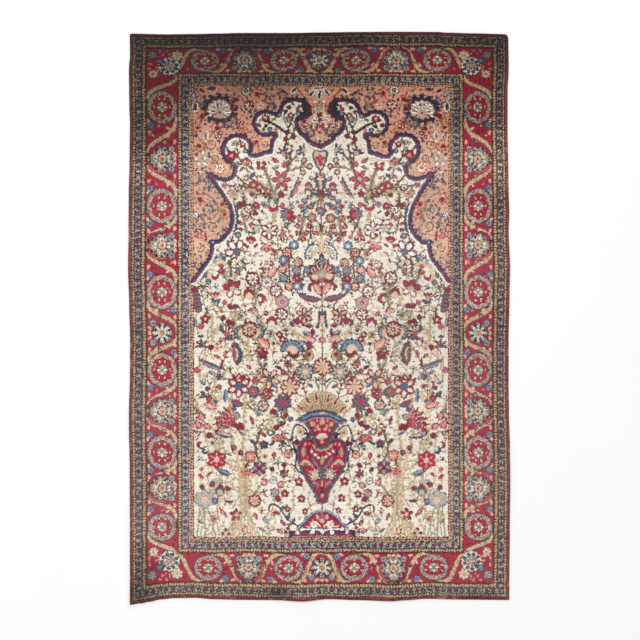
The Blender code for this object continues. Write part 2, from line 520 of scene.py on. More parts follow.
@dataclass(frozen=True)
class Bloom(Motif):
    """Petals round a heart, or a fan of them, each with or without an edge of another silk."""

    turn: float = 0.0
    edge: Yarn = CRIMSON
    petal: Yarn = CRIMSON
    heart: Yarn = PINK
    count: int = 6
    spread: float = 360.0
    fat: float = 0.75
    core: float = 0.30
    point: float = 0.8

    def draw(self, drawing: Drawing) -> None:
        """Paint the petals, then the heart."""
        step = math.tau / self.count if self.spread >= 360 else math.radians(self.spread) / max(
            self.count - 1, 1)
        half_width = self.size * min(0.36, 0.56 * math.sin(min(step, math.pi) / 2)) * self.fat / 0.80
        place = (self.out, self.up, self.count)
        drawing.petals(*place, self.core * self.size * 0.3, self.size, half_width, self.edge,
                       self.turn, self.spread, self.point)
        if self.petal == self.edge and self.size > 4:
            vein = PEACH if self.edge in (CRIMSON, WINE, ROSE) else OUTLINES.get(self.edge, self.edge)
            drawing.petals(*place, self.size * 0.3, self.size * 0.8, 0.55, vein, self.turn, self.spread)
        if self.petal != self.edge:
            drawing.petals(*place, self.core * self.size * 0.6, self.size - 0.9,
                           max(half_width - 0.95, 0.5), self.petal, self.turn, self.spread, self.point)
        if self.core:
            drawing.disc(self.out, self.up, self.core * self.size, self.heart)


@dataclass(frozen=True)
class Ring(Motif):
    """A rosette with a scalloped rim round petals and a heart."""

    turn: float = 0.0
    rim: Yarn = WINE
    petal: Yarn = WHITE
    heart: Yarn = SLATE
    lobes: int = 8

    def draw(self, drawing: Drawing) -> None:
        """Paint rim, petals and heart, each on the one before."""
        place = (self.out, self.up)
        drawing.disc(*place, self.size, self.rim, self.lobes, turn=self.turn)
        drawing.petals(*place, self.lobes, self.size * 0.2, self.size * 0.84,
                       self.size * 1.25 / self.lobes, self.petal, self.turn, point=0.6)
        drawing.disc(*place, self.size * 0.32, self.heart)
        drawing.disc(*place, self.size * 0.14, PEACH)


@dataclass(frozen=True)
class Fan(Motif):
    """A half-open palmette: a scalloped rim over rays and a core, standing on its base."""

    turn: float = 0.0
    rim: Yarn = BLUE
    ray: Yarn = SKY
    core: Yarn = PEACH
    spread: float = 190.0
    lobes: int = 14

    def draw(self, drawing: Drawing) -> None:
        """Paint rim, rays and core from the outside in."""
        place = (self.out, self.up)
        shape = {"turn": self.turn, "spread": self.spread}
        drawing.disc(*place, self.size, self.rim, self.lobes, **shape)
        drawing.dots(*place, max(3, round(self.lobes * self.spread / 360)), self.size * 0.76,
                     self.size * 0.11, self.ray, self.turn, self.spread * 0.84)
        drawing.disc(*place, self.size * 0.60, self.ray, self.lobes, **shape)
        drawing.disc(*place, self.size * 0.46, self.core, 0, **shape)


@dataclass(frozen=True)
class Leaf(Motif):
    """A leaf in two silks on a bent spine, smooth or toothed; its place is its middle."""

    turn: float = 0.0
    main: Yarn = CRIMSON
    second: Yarn | None = None
    width: float = 3.0
    bend: float = 0.0
    teeth: float = 0.0
    edge: Yarn | None = None
    blunt: float = 0.7

    def draw(self, drawing: Drawing) -> None:
        """Paint the edge, then both sides and the rib between them."""
        sine, cosine = heading(self.turn)
        spine = []
        for share in (-0.5, -0.25, 0.0, 0.25, 0.5):
            ahead, aside = self.size * share, self.bend * (1 - 4 * share * share)
            spine.append((self.out + ahead * sine + aside * cosine, self.up + ahead * cosine - aside * sine))
        trace = drawing.follow(smooth_line(spine), self.width)
        limit = self.width / 2 * np.sin(math.pi * np.clip(trace.along, 0, 1) ** 0.85) ** self.blunt
        if self.teeth:
            phase = (trace.along * trace.length / 2.6) % 1
            limit = limit - self.teeth * phase
        distance = abs(trace.off)
        if self.edge is not None:
            drawing.fill(trace.view, distance < limit + 0.8, self.edge)
        drawing.fill(trace.view, distance < limit, self.main)
        if self.second is not None:
            drawing.fill(trace.view, (distance < limit) & (trace.off > 0), self.second)
        if self.main in (CRIMSON, WINE) and self.width >= 2.6:
            light = (abs(trace.off + 0.3) < 0.45) & (distance < limit - 0.6)
            drawing.fill(trace.view, light, PEACH if self.second is None else PINK)


@dataclass(frozen=True)
class Crescent(Motif):
    """A curled petal: a disc with a second disc taken from its front."""

    turn: float = 0.0
    yarn: Yarn = CRIMSON
    inside: Yarn | None = None

    def draw(self, drawing: Drawing) -> None:
        """Paint the crescent and what lies in its curve."""
        view, distance, _ = drawing.around(self.out, self.up, self.size)
        sine, cosine = heading(self.turn)
        shift = self.size * 0.45
        hollow = np.hypot(view.out - self.out - shift * sine, view.up - self.up - shift * cosine)
        drawing.fill(view, (distance < self.size) & (hollow >= self.size * 0.78), self.yarn)
        if self.inside is not None:
            drawing.fill(view, (distance < self.size) & (hollow < self.size * 0.66), self.inside)


@dataclass(frozen=True)
class Scroll(Motif):
    """A tendril that curls round a small flower, with leaves on its outer side."""

    turn: float = 0.0
    yarn: Yarn = KHAKI
    leaf: Yarn = PEACH
    flower: Yarn = WHITE
    hand: int = 1
    points: int = 9
    leaves: int = 6
    step: float = 52.0               # degrees from point to point
    draw_in: float = 0.085           # share of the size that each step comes nearer to the middle

    def draw(self, drawing: Drawing) -> None:
        """Paint the tendril, its leaves and the flower in its curl."""
        points = []
        for step in range(self.points):
            turn = math.radians(self.turn + self.hand * step * self.step)
            reach = self.size * (1.0 - self.draw_in * step)
            points.append((self.out + reach * math.sin(turn), self.up + reach * math.cos(turn)))
            if step < self.leaves:
                wide, lean = reach + 1.6, turn + 0.3
                Leaf(self.out + wide * math.sin(lean), self.up + wide * math.cos(lean), 3.6,
                     math.degrees(turn) + 60 * self.hand, self.leaf, None, 1.8).draw(drawing)
        drawing.stroke(smooth_line(points), 1.0, self.yarn)
        Bloom(self.out, self.up, self.size * 0.46, self.turn, self.flower, self.flower, WINE).draw(drawing)


@dataclass(frozen=True)
class Stem:
    """A stem or tendril through a few points."""

    points: tuple[Point, ...]
    yarn: Yarn = TAN
    width: float = 1.0
    leaf: Yarn | None = None
    first: float = 2.6               # where the first leaf stands, squares along
    spacing: float = 4.4
    lean: float = 48.0
    beside: float = 2.3
    leaf_size: Point = (4.4, 1.7)    # length and width

    def draw(self, drawing: Drawing) -> None:
        """Paint the stem, and small leaves on both its sides by turns where it has any."""
        line = smooth_line(self.points)
        drawing.stroke(line, self.width, self.yarn)
        if self.leaf is None:
            return
        way = lengths(line)
        size, width = self.leaf_size
        for step, place in enumerate(np.arange(self.first, way[-1], self.spacing)):
            out, up = (float(np.interp(place, way, line[:, axis])) for axis in (0, 1))
            next_out, next_up = (float(np.interp(place + 1, way, line[:, axis])) for axis in (0, 1))
            ahead = math.degrees(math.atan2(next_out - out, next_up - up))
            turn = ahead + (self.lean if step % 2 else -self.lean)
            sine, cosine = heading(turn)
            Leaf(out + self.beside * sine, up + self.beside * cosine, size, turn, self.leaf, None,
                 width).draw(drawing)


# --- The field ---

STEMS = (
    Stem(((47, 118), (44, 130), (34, 146)), KHAKI, 1.8),
    Stem(((47, 118), (50, 134), (56, 150)), KHAKI, 1.4),
    Stem(((48, 118), (60, 130), (74, 141)), BROWN, 1.2),
    Stem(((49, 118), (70, 128), (94, 131)), BROWN, 1.2), Stem(((48, 96), (47, 108), (47, 120)), KHAKI, 2.2),
    Stem(((70, 98), (78, 116), (75, 128)), BROWN, 1.2),
    Stem(((36, 166), (34, 180), (30, 192), (25, 203)), UMBER),
    Stem(((32, 188), (36, 197), (35, 206)), UMBER, 0.8),
    Stem(((34, 182), (42, 188), (50, 193), (60, 196)), UMBER),
    Stem(((50, 193), (56, 189), (58, 184)), UMBER, 0.8),
    Stem(((33, 176), (28, 182), (26, 190)), BROWN, 0.8),
    Stem(((78, 152), (82, 160), (84, 172), (80, 176)), BROWN, 0.8),
    Stem(((33, 145), (32, 151), (28, 172)), BROWN), Stem(((33, 146), (34, 162)), BROWN),
    Stem(((33, 150), (22, 164)), BROWN), Stem(((56, 146), (51, 133), (49, 125)), KHAKI, 1.2),
    Stem(((32, 146), (20, 149), (11, 149)), KHAKI, 1.3), Stem(((20, 149), (16, 155)), BROWN),
    Stem(((20, 148), (17, 143)), BROWN), Stem(((89, 161), (89, 149)), BROWN, 1.2),
    Stem(((84, 141), (75, 132), (66, 128), (55, 119)), BROWN, 1.3), Stem(((74, 152), (72, 140)), KHAKI),
    Stem(((88, 119), (81, 124), (66, 126)), TAN, 1.8), Stem(((71, 112), (66, 107)), BROWN),
    Stem(((75, 84), (78, 98), (80, 104)), KHAKI, 1.4), Stem(((48, 107), (48, 94)), GREY),
    Stem(((15, 99), (19, 95), (19, 78)), KHAKI, 1.8), Stem(((39, 86), (37, 77)), KHAKI, 1.2),
    Stem(((8, 64), (11, 58)), SLATE), Stem(((100, 52), (96, 37)), BROWN),
    Stem(((85, 59), (90, 55), (90, 40)), BROWN, 1.6), Stem(((32, 58), (32, 35)), BROWN, 1.3),
    Stem(((109, 2), (109, -24)), TAN, 2.0), Stem(((73, -22), (73, -44)), TAN, 1.6),
    Stem(((76, -24), (79, -44)), TAN, 1.0), Stem(((29, -29), (27, -40)), KHAKI),
    Stem(((90, -79), (91, -112), (88, -131)), TAN, 2.0),
    Stem(((77, -79), (77, -109), (80, -136)), TAN, 2.0), Stem(((28, -171), (28, -193)), TAN, 1.6),
    Stem(((92, -221), (84, -205), (80.5, -190), (82, -168), (84, -150), (88, -131)), TAN, 0.8),
    Stem(((88, -221), (81.5, -203), (78.6, -188), (80, -166), (83, -148), (86.5, -131)), PEACH, 1.0),
    Stem(((84, -221), (79, -200), (77, -184), (78, -160), (81, -136)), TAN, 0.9),
    Stem(((79, -221), (76.5, -200), (75.4, -182), (76.4, -160), (79, -138)), SAGE, 0.6),
    Stem(((74, -221), (74, -200), (73.6, -182), (74.6, -160), (78, -140)), TAN, 0.8),
    Stem(((66, -221), (69, -207), (72.4, -192)), TAN, 0.8),
    Stem(((62, -221), (66, -211), (71, -201)), SAGE, 0.5),
    Stem(((70, -221), (71.6, -206), (73, -192)), PEACH, 0.8),
    Stem(((97, -221), (88, -208), (82.6, -198)), TAN, 0.7),
    Stem(((101, -221), (92, -211), (86, -205)), SAGE, 0.5),
    Stem(((81, -178), (90, -168), (99, -156)), TAN, 0.5),
    Stem(((75, -166), (68, -160), (62, -152)), TAN, 0.5),
    Stem(((74, -190), (69, -187), (66, -184)), TAN, 0.4),
    Stem(((83, -152), (93, -149), (105, -144)), TAN, 0.5),
    Stem(((76, -152), (73, -146), (71, -140)), TAN, 0.4),
    Stem(((110, -221), (108, -209), (103, -200)), SAGE, 0.5),
    Stem(((114, -221), (112, -206), (107, -196)), TAN, 0.4),
    Stem(((121, -221), (119, -206), (121, -195)), SAGE, 0.5),
    Stem(((104, -221), (101, -211), (96, -204)), TAN, 0.4),
    Stem(((60, -221), (58, -213), (53, -207)), SAGE, 0.5),
    Stem(((55, -221), (51, -212), (46, -207)), TAN, 0.4), Stem(((117, -190), (116, -220)), SAGE, 1.2),
    Stem(((113, -192), (106, -219)), SAGE, 1.0), Stem(((121, -190), (124, -219)), SAGE, 1.0),
    Stem(((52, 194), (45, 191), (36, 185)), UMBER, 1.6),
    Stem(((60, 135), (52, 128), (46, 116), (48, 94)), TAN), Stem(((100, 46), (92, 32), (89, 27)), KHAKI),
    Stem(((69, 33), (66, 18), (70, 6)), KHAKI, 1.2), Stem(((55, 34), (50, 22), (42, 15)), TAN),
    Stem(((94, -17), (86, -8), (88, 6)), TAN), Stem(((58, -27), (64, -40), (61, -50)), KHAKI),
    Stem(((55, -62), (60, -74), (58, -90), (63, -97)), TAN, 1.4),
    Stem(((32, -80), (40, -96), (36, -106)), BROWN), Stem(((104, -62), (110, -76), (106, -90)), TAN),
    Stem(((105, -136), (100, -124), (98, -110)), TAN, 1.2),
    Stem(((63, -145), (66, -130), (60, -112)), BROWN),
    Stem(((48, -95), (52, -104), (50, -116), (44, -124)), TAN), Stem(((72, -140), (76, -150)), BROWN, 1.3),
    Stem(((46, -176), (40, -168), (38, -156)), TAN), Stem(((98, -156), (104, -168), (116, -184)), TAN),
    Stem(((67, -178), (60, -168), (58, -160)), KHAKI), Stem(((30, -205), (36, -214)), BROWN),
)

UPPER_FIELD = (
    # Lobe beside the middle line, then the second and the third.
    Leaf(27, 213, 6, 40, KHAKI), Leaf(22, 208, 9, -20, BROWN, ROSE, 4, teeth=0.8), Berry(31, 209, 2),
    Berry(35, 205, 2), Berry(29, 201, 2.6, heart=PEACH), Bloom(55, 198, 4.8, 0, WINE, CRIMSON, PEACH),
    Berry(62, 191, 2, WINE), Berry(55, 190, 2, UMBER), Leaf(58, 185, 6, 90, TAN, KHAKI, 3.4),
    Leaf(46, 197, 7, -60, KHAKI, None, 2.4), Leaf(44, 187, 6, -70, CRIMSON, None, 2.6), Berry(33, 184, 2),
    Berry(27, 180, 2.2), Berry(35, 177, 2), Bloom(31, 197, 3.6, 0, SLATE, GREY, PINK, 5),
    Bloom(89, 161, 6, 30, WINE, CRIMSON, PINK, fat=0.7), Leaf(94, 169, 7, 30, TEAL, KHAKI, 3),
    Bloom(78, 172, 3.6, 0, WINE, CRIMSON, PEACH, 5), Bloom(87, 174, 3.2, 0, GREY, GREY, SLATE, 5),
    Fan(74, 151, 6, 0, WINE, PEACH, ROSE, 150), Leaf(74, 158, 5, 90, BLUE, None, 2.4),
    Leaf(79, 147, 6, 120, SLATE, None, 2.2), Leaf(69, 148, 6, -120, SLATE, None, 2.2),
    Bloom(74, 138, 3.6, 0, BROWN, PEACH, PEACH, 5), Leaf(68, 141, 7, -40, NAVY, BLUE, 3.4),
    Bloom(67, 131, 5, 0, CRIMSON, WINE, PEACH, 5), Bloom(97, 131, 3.4, 0, ROSE, PINK, CRIMSON, 5),
    Ring(83, 129, 3.6), Ring(90, 123, 3.6, 0, ROSE, PEACH, SAGE), Berry(69, 122, 2.2),
    # Under the lobes.
    Bloom(17, 166.5, 7, 90, NAVY, BLUE, GREY, 5, 190, 0.6),
    Bloom(37, 163, 7.5, 0, NAVY, BLUE, PINK, 5, 170, 0.6), Leaf(33, 173, 5, 20, CRIMSON, None, 2),
    Berry(36, 152, 2.5, ROSE), Leaf(45, 156, 8, 60, WINE, CRIMSON, 3),
    Leaf(45, 149, 7, 110, SLATE, GREY, 2.6),
    Bloom(39, 137, 10.5, 30, CRIMSON, ROSE, GREY, 6, fat=0.55, core=0.2),
    Bloom(59, 151, 5.5, 180, WINE, CRIMSON, PEACH, 4, 240), Berry(16, 156, 3.2, BROWN, PEACH),
    Berry(10, 150, 3.2, OXBLOOD, PEACH), Berry(17, 144, 3.2, BROWN, PEACH),
    Leaf(27, 129, 25, -26, BLUE, PINK, 4.6, -2, 1.8, edge=NAVY), Leaf(22, 130, 12, -24, CRIMSON, IVORY, 3),
    Bloom(61, 129, 4.5, 0, WINE, CRIMSON, PEACH, 4), Bloom(53, 125, 4.5, 20, WINE, CRIMSON, PEACH, 4),
    Bloom(40, 122, 3.6, 0, CRIMSON, IVORY, CRIMSON, 5), Leaf(45, 116, 5, 20, BLUE, SKY, 2.6),
    Leaf(52, 116, 5, -20, SLATE, SKY, 2.6), Berry(81, 112, 1.8), Berry(78, 112, 1.8), Ring(73, 107, 4.2),
    Berry(66, 103, 2.2), Bloom(65, 111, 3.4, 0, WINE, CRIMSON, PINK, 5),
    Leaf(79, 101, 5, 20, WINE, CRIMSON, 2.6), Leaf(81, 93, 5, 60, WINE, CRIMSON, 2.6),
    Leaf(73, 97, 5, -30, WINE, PEACH, 2.6), Leaf(70, 92, 5, -60, WINE, CRIMSON, 2.6),
    Leaf(81, 87, 5, 80, CRIMSON, None, 2.2), Berry(83, 81, 2.8, SLATE, GREY),
    Fan(70, 74, 6, 0, WINE, CRIMSON, PINK, 130), Leaf(75, 71, 5, 60, CRIMSON, None, 2.2),
    Leaf(65, 71, 5, -60, CRIMSON, None, 2.2), Bloom(84, 65, 12, 40, SLATE, SKY, GREY, 4, 100, 0.55),
    Bloom(84, 65, 12, 40, WINE, WHITE, SLATE, 3, 130), Leaf(103, 66, 6, 60, KHAKI, SAGE, 2.6),
    Bloom(99, 58, 3.2, 0, SKY, WHITE, SLATE, 5), Leaf(63, 110, 5, 0, CRIMSON, None, 2),
    Berry(57, 112, 2.8, LILAC, PLUM), Leaf(44, 117, 4, 0, SLATE), Berry(39, 111, 2.4, ROSE),
    Crescent(48, 110, 5, 0, CRIMSON, IVORY), Leaf(58, 105, 6, 50, NAVY, None, 2.4, 1),
    Bloom(52, 86, 9, 0, WINE, WHITE, GREY, 6, fat=0.8), Bloom(35, 102, 7, 60, SLATE, SKY, ROSE, 5, 200),
    Bloom(33, 101, 6.5, -80, CRIMSON, IVORY, ROSE, 4, 150), Leaf(17, 115, 6, 60, BLUE, SKY, 4),
    Leaf(20, 110, 6.5, 90, WINE, CRIMSON, 4), Leaf(16, 105, 6.5, 160, SKY, BLUE, 4),
    Leaf(11, 109, 6.5, -120, WINE, CRIMSON, 4), Leaf(8, 112, 6.5, -60, BLUE, SLATE, 3.4),
    Ring(9.5, 98.5, 4.6, 0, CRIMSON, SAGE, TAN), Bloom(24, 90, 3, 0, CRIMSON, WINE, PEACH, 4),
    Bloom(12, 90, 3, 30, CRIMSON, WINE, PEACH, 4), Bloom(23, 83, 2.8, 50, WINE, CRIMSON, PINK, 4),
    Bloom(15, 83, 2.6, 0, CRIMSON, WINE, PEACH, 4), Bloom(18, 77, 3, 0, CRIMSON, WINE, PEACH, 4),
    Bloom(22, 97, 2.6, 0, ROSE, ROSE, PEACH, 4), Berry(39, 86, 2.6, TAN, BROWN),
    Bloom(39, 82, 8, 185, WINE, WHITE, ROSE, 3, 80), Bloom(55, 71, 7, 190, ROSE, PINK, PINK, 3, 120),
    Ring(27, 71, 4.6, 0, BLUE, SKY, WHITE, 6), Ring(34, 64, 4.8, 0, WINE, PEACH, WINE),
    Bloom(30, 79, 3.2, 0, ORANGE, PEACH, CRIMSON, 5), Leaf(65, 62, 6, -50, WINE, PEACH, 2.8),
    Bloom(64, 87, 3.2, 0, GREY, WHITE, TAN, 5),
)

MIDDLE_FIELD = (
    Berry(106, 55, 2, SKY), Berry(97, 57, 2, BLUE), Fan(100, 50, 6, 0, PEACH, TAN, ROSE, 170),
    Fan(100, 46, 4, 180, WINE, CRIMSON, ROSE, 150), Crescent(106, 40, 3.4, 0, CRIMSON, IVORY),
    Berry(112, 40, 2.2, PEACH), Berry(116, 41, 2.2, SLATE), Berry(113, 34, 2.2, SLATE, SKY),
    Leaf(94, 43, 7, -30, GREY, SAGE, 3), Leaf(83, 45, 7, 0, CRIMSON, BLUE, 4.4), Ring(69, 38, 6.6),
    Bloom(89, 27, 11, 15, WINE, CRIMSON, GREY, 3, 110), Bloom(89, 27, 9, 195, CRIMSON, WHITE, GREY, 2, 90),
    Bloom(106, 20, 4.6, 0, WINE, CRIMSON, PINK, 3, 90), Leaf(103, 15, 5, 140, BLUE, None, 2.2),
    Leaf(108, 15, 5, -140, BLUE, None, 2.2), Berry(97, 14, 2.2, ROSE), Berry(92, 10, 2.2),
    Berry(87, 10, 2.2), Crescent(73, 23, 5, 180, WINE, PEACH), Fan(69, 3, 5.5, 0, WINE, PEACH, PINK, 140),
    Berry(100, 5, 2, ORANGE), Leaf(49, 53, 6, 30, CRIMSON, None, 2.6),
    Leaf(57, 49, 6, 80, CRIMSON, IVORY, 3), Leaf(49, 44, 11, -40, PEACH, PINK, 5.5, edge=CRIMSON),
    Berry(55, 54, 2.4, KHAKI, PEACH), Ring(38, 56, 4.4, 0, BLUE, SKY, WHITE, 6),
    Ring(39, 47, 4.3, 0, WINE, PEACH, TAN), Ring(38, 38, 4.4, 0, TEAL, SKY, ROSE, 6),
    Ring(33, 30, 4.5, 0, WINE, PEACH, TAN), Ring(25, 30, 4.4, 0, BLUE, SKY, WHITE, 6),
    Ring(25, 38, 4.3, 0, CRIMSON, IVORY, ROSE), Ring(25, 46, 4.4, 0, SLATE, SKY, MAGENTA, 6),
    Ring(23, 54, 4.6, 0, WINE, PEACH, ROSE), Ring(46, 25, 6.2), Ring(55, 34, 5.8, 0, LILAC, WHITE, PLUM),
    Ring(40, 14, 6.4, 0, LILAC, PINK, PLUM), Crescent(61, 18, 4.5, 90, CRIMSON, IVORY),
    Bloom(18, 1, 9, 0, WINE, PEACH, SLATE, 6, fat=0.7), Ring(40, 2, 6),
    Leaf(56, 3, 6, 40, WINE, CRIMSON, 3), Leaf(13, 21, 26, 75, MAGENTA, SLATE, 6, 3, 1.4, edge=NAVY),
    Leaf(126, -6, 8, 0, BLUE, SKY, 3), Bloom(116, -3, 5, 0, WINE, CRIMSON, PEACH, 5),
    Berry(120, -10, 2.6, ROSE), Bloom(94, -17, 9, -45, WINE, WHITE, ROSE, 3, 80),
    Leaf(99, -13, 7, 20, BLUE, SLATE, 3), Leaf(92, -22, 7, -100, BLUE, SLATE, 3), Berry(93, -5, 2.2),
    Berry(88, -7, 2.2), Berry(98, -1, 2.2), Fan(79, -16, 8, 70, TEAL, GREY, PEACH, 180),
    Fan(65, -16, 8, -70, TEAL, GREY, PEACH, 180), Ring(72, -13, 8, 0, WINE, PEACH, TEAL, 10),
    Bloom(120, -29, 7, 0, PLUM, ROSE, TEAL, 5, 210), Leaf(120, -20, 5, 90, TEAL, None, 2.4),
    Berry(110, -31, 2.6), Bloom(104, -32, 3.6, 0, PEACH, PEACH, ROSE, 4),
    Leaf(86, -37, 24, 4, MAGENTA, TEAL, 10, -2, 1.4, edge=PLUM), Leaf(87, -37, 15, 4, KHAKI, PEACH, 4, -2),
    Leaf(96, -37, 6, -20, CRIMSON, None, 2.6), Leaf(104, -40, 6, 60, CRIMSON, None, 2.6),
    Leaf(110, -47, 26, 68, LILAC, BLUE, 5.5, 2, 1.2, edge=PLUM), Leaf(100, -47, 5, 0, CRIMSON, None, 2.2),
    Leaf(73, -51, 6, 50, WINE, CRIMSON, 2.8), Berry(124, -54, 2.6, ROSE),
    Crescent(50, -6, 5, 180, CRIMSON, IVORY), Bloom(24, -6, 5.5, 0, MAGENTA, WINE, CRIMSON, 3, 120),
    Bloom(13, -8, 3.6, 180, WINE, CRIMSON, ROSE, 3, 120), Leaf(30, -7, 6, 30, TEAL, None, 2.8),
    Berry(42, -18, 2.8, heart=PEACH), Berry(39, -23, 2.8, heart=PEACH),
    Bloom(29, -17, 3.6, 0, TAN, TAN, BROWN, 4), Fan(30, -34, 11.5, 0, BLUE, SKY, PEACH, 190, 16),
    Crescent(28, -36, 5, 0, WINE, PEACH), Leaf(58, -27, 14, 50, PEACH, PINK, 6, 0, edge=ROSE),
    Bloom(59, -38, 5.5, 0, WINE, CRIMSON, TEAL, 5),
    Leaf(13.5, -39, 12, 0, KHAKI, TAN, 9, blunt=0.5, edge=BROWN), Berry(13, -38, 2.2),
    Leaf(34, -48, 9, 80, WINE, CRIMSON, 3.2), Leaf(44, -51, 8, 60, NAVY, PLUM, 3.6),
    Berry(48, -27, 1.8, NAVY), Leaf(61, -48, 6, 30, SLATE, SAGE, 2.8),
    Leaf(56, -49, 6, -30, TEAL, SAGE, 2.8),
    Bloom(17.5, -55.5, 9, 20, SLATE, GREY, PEACH, 9, fat=0.95, point=0.6),
    Bloom(115, -60, 4.6, 0, TAN, WHITE, ROSE, 6), Leaf(119, -66, 6, 60, BLUE, SKY, 2.6),
    Leaf(110, -56, 6, 60, BLUE, SKY, 2.6), Bloom(103, -61, 8, 0, PLUM, GREY, TEAL, 5, 200),
    Leaf(103, -70, 6, 90, WINE, CRIMSON, 2.8), Berry(114, -72, 2.2), Leaf(118, -78, 8, 40, PLUM, TEAL, 4),
    Berry(112, -82, 3, heart=ROSE), Leaf(106, -85, 6, 80, BLUE, None, 2.6),
    Leaf(96, -79, 13, 0, BLUE, SKY, 3.6), Leaf(101, -81, 8, -10, PEACH, None, 2.6),
    Leaf(111, -89, 12, 70, PEACH, PINK, 4, edge=ROSE),
    Bloom(83, -72, 15, 0, CRIMSON, IVORY, BLUE, 5, 100, 0.7, 0.2),
    Bloom(83, -70, 12, 0, CRIMSON, IVORY, BLUE, 6, fat=0.85), Berry(67, -65, 2.6, ROSE),
    Ring(68.5, -75.5, 5.4, 0, TEAL, ROSE, CRIMSON), Leaf(85, -86, 14, 60, BLUE, CRIMSON, 6, 1, 0.8),
    Leaf(87, -92, 6, 20, BLUE, None, 2.6),
)

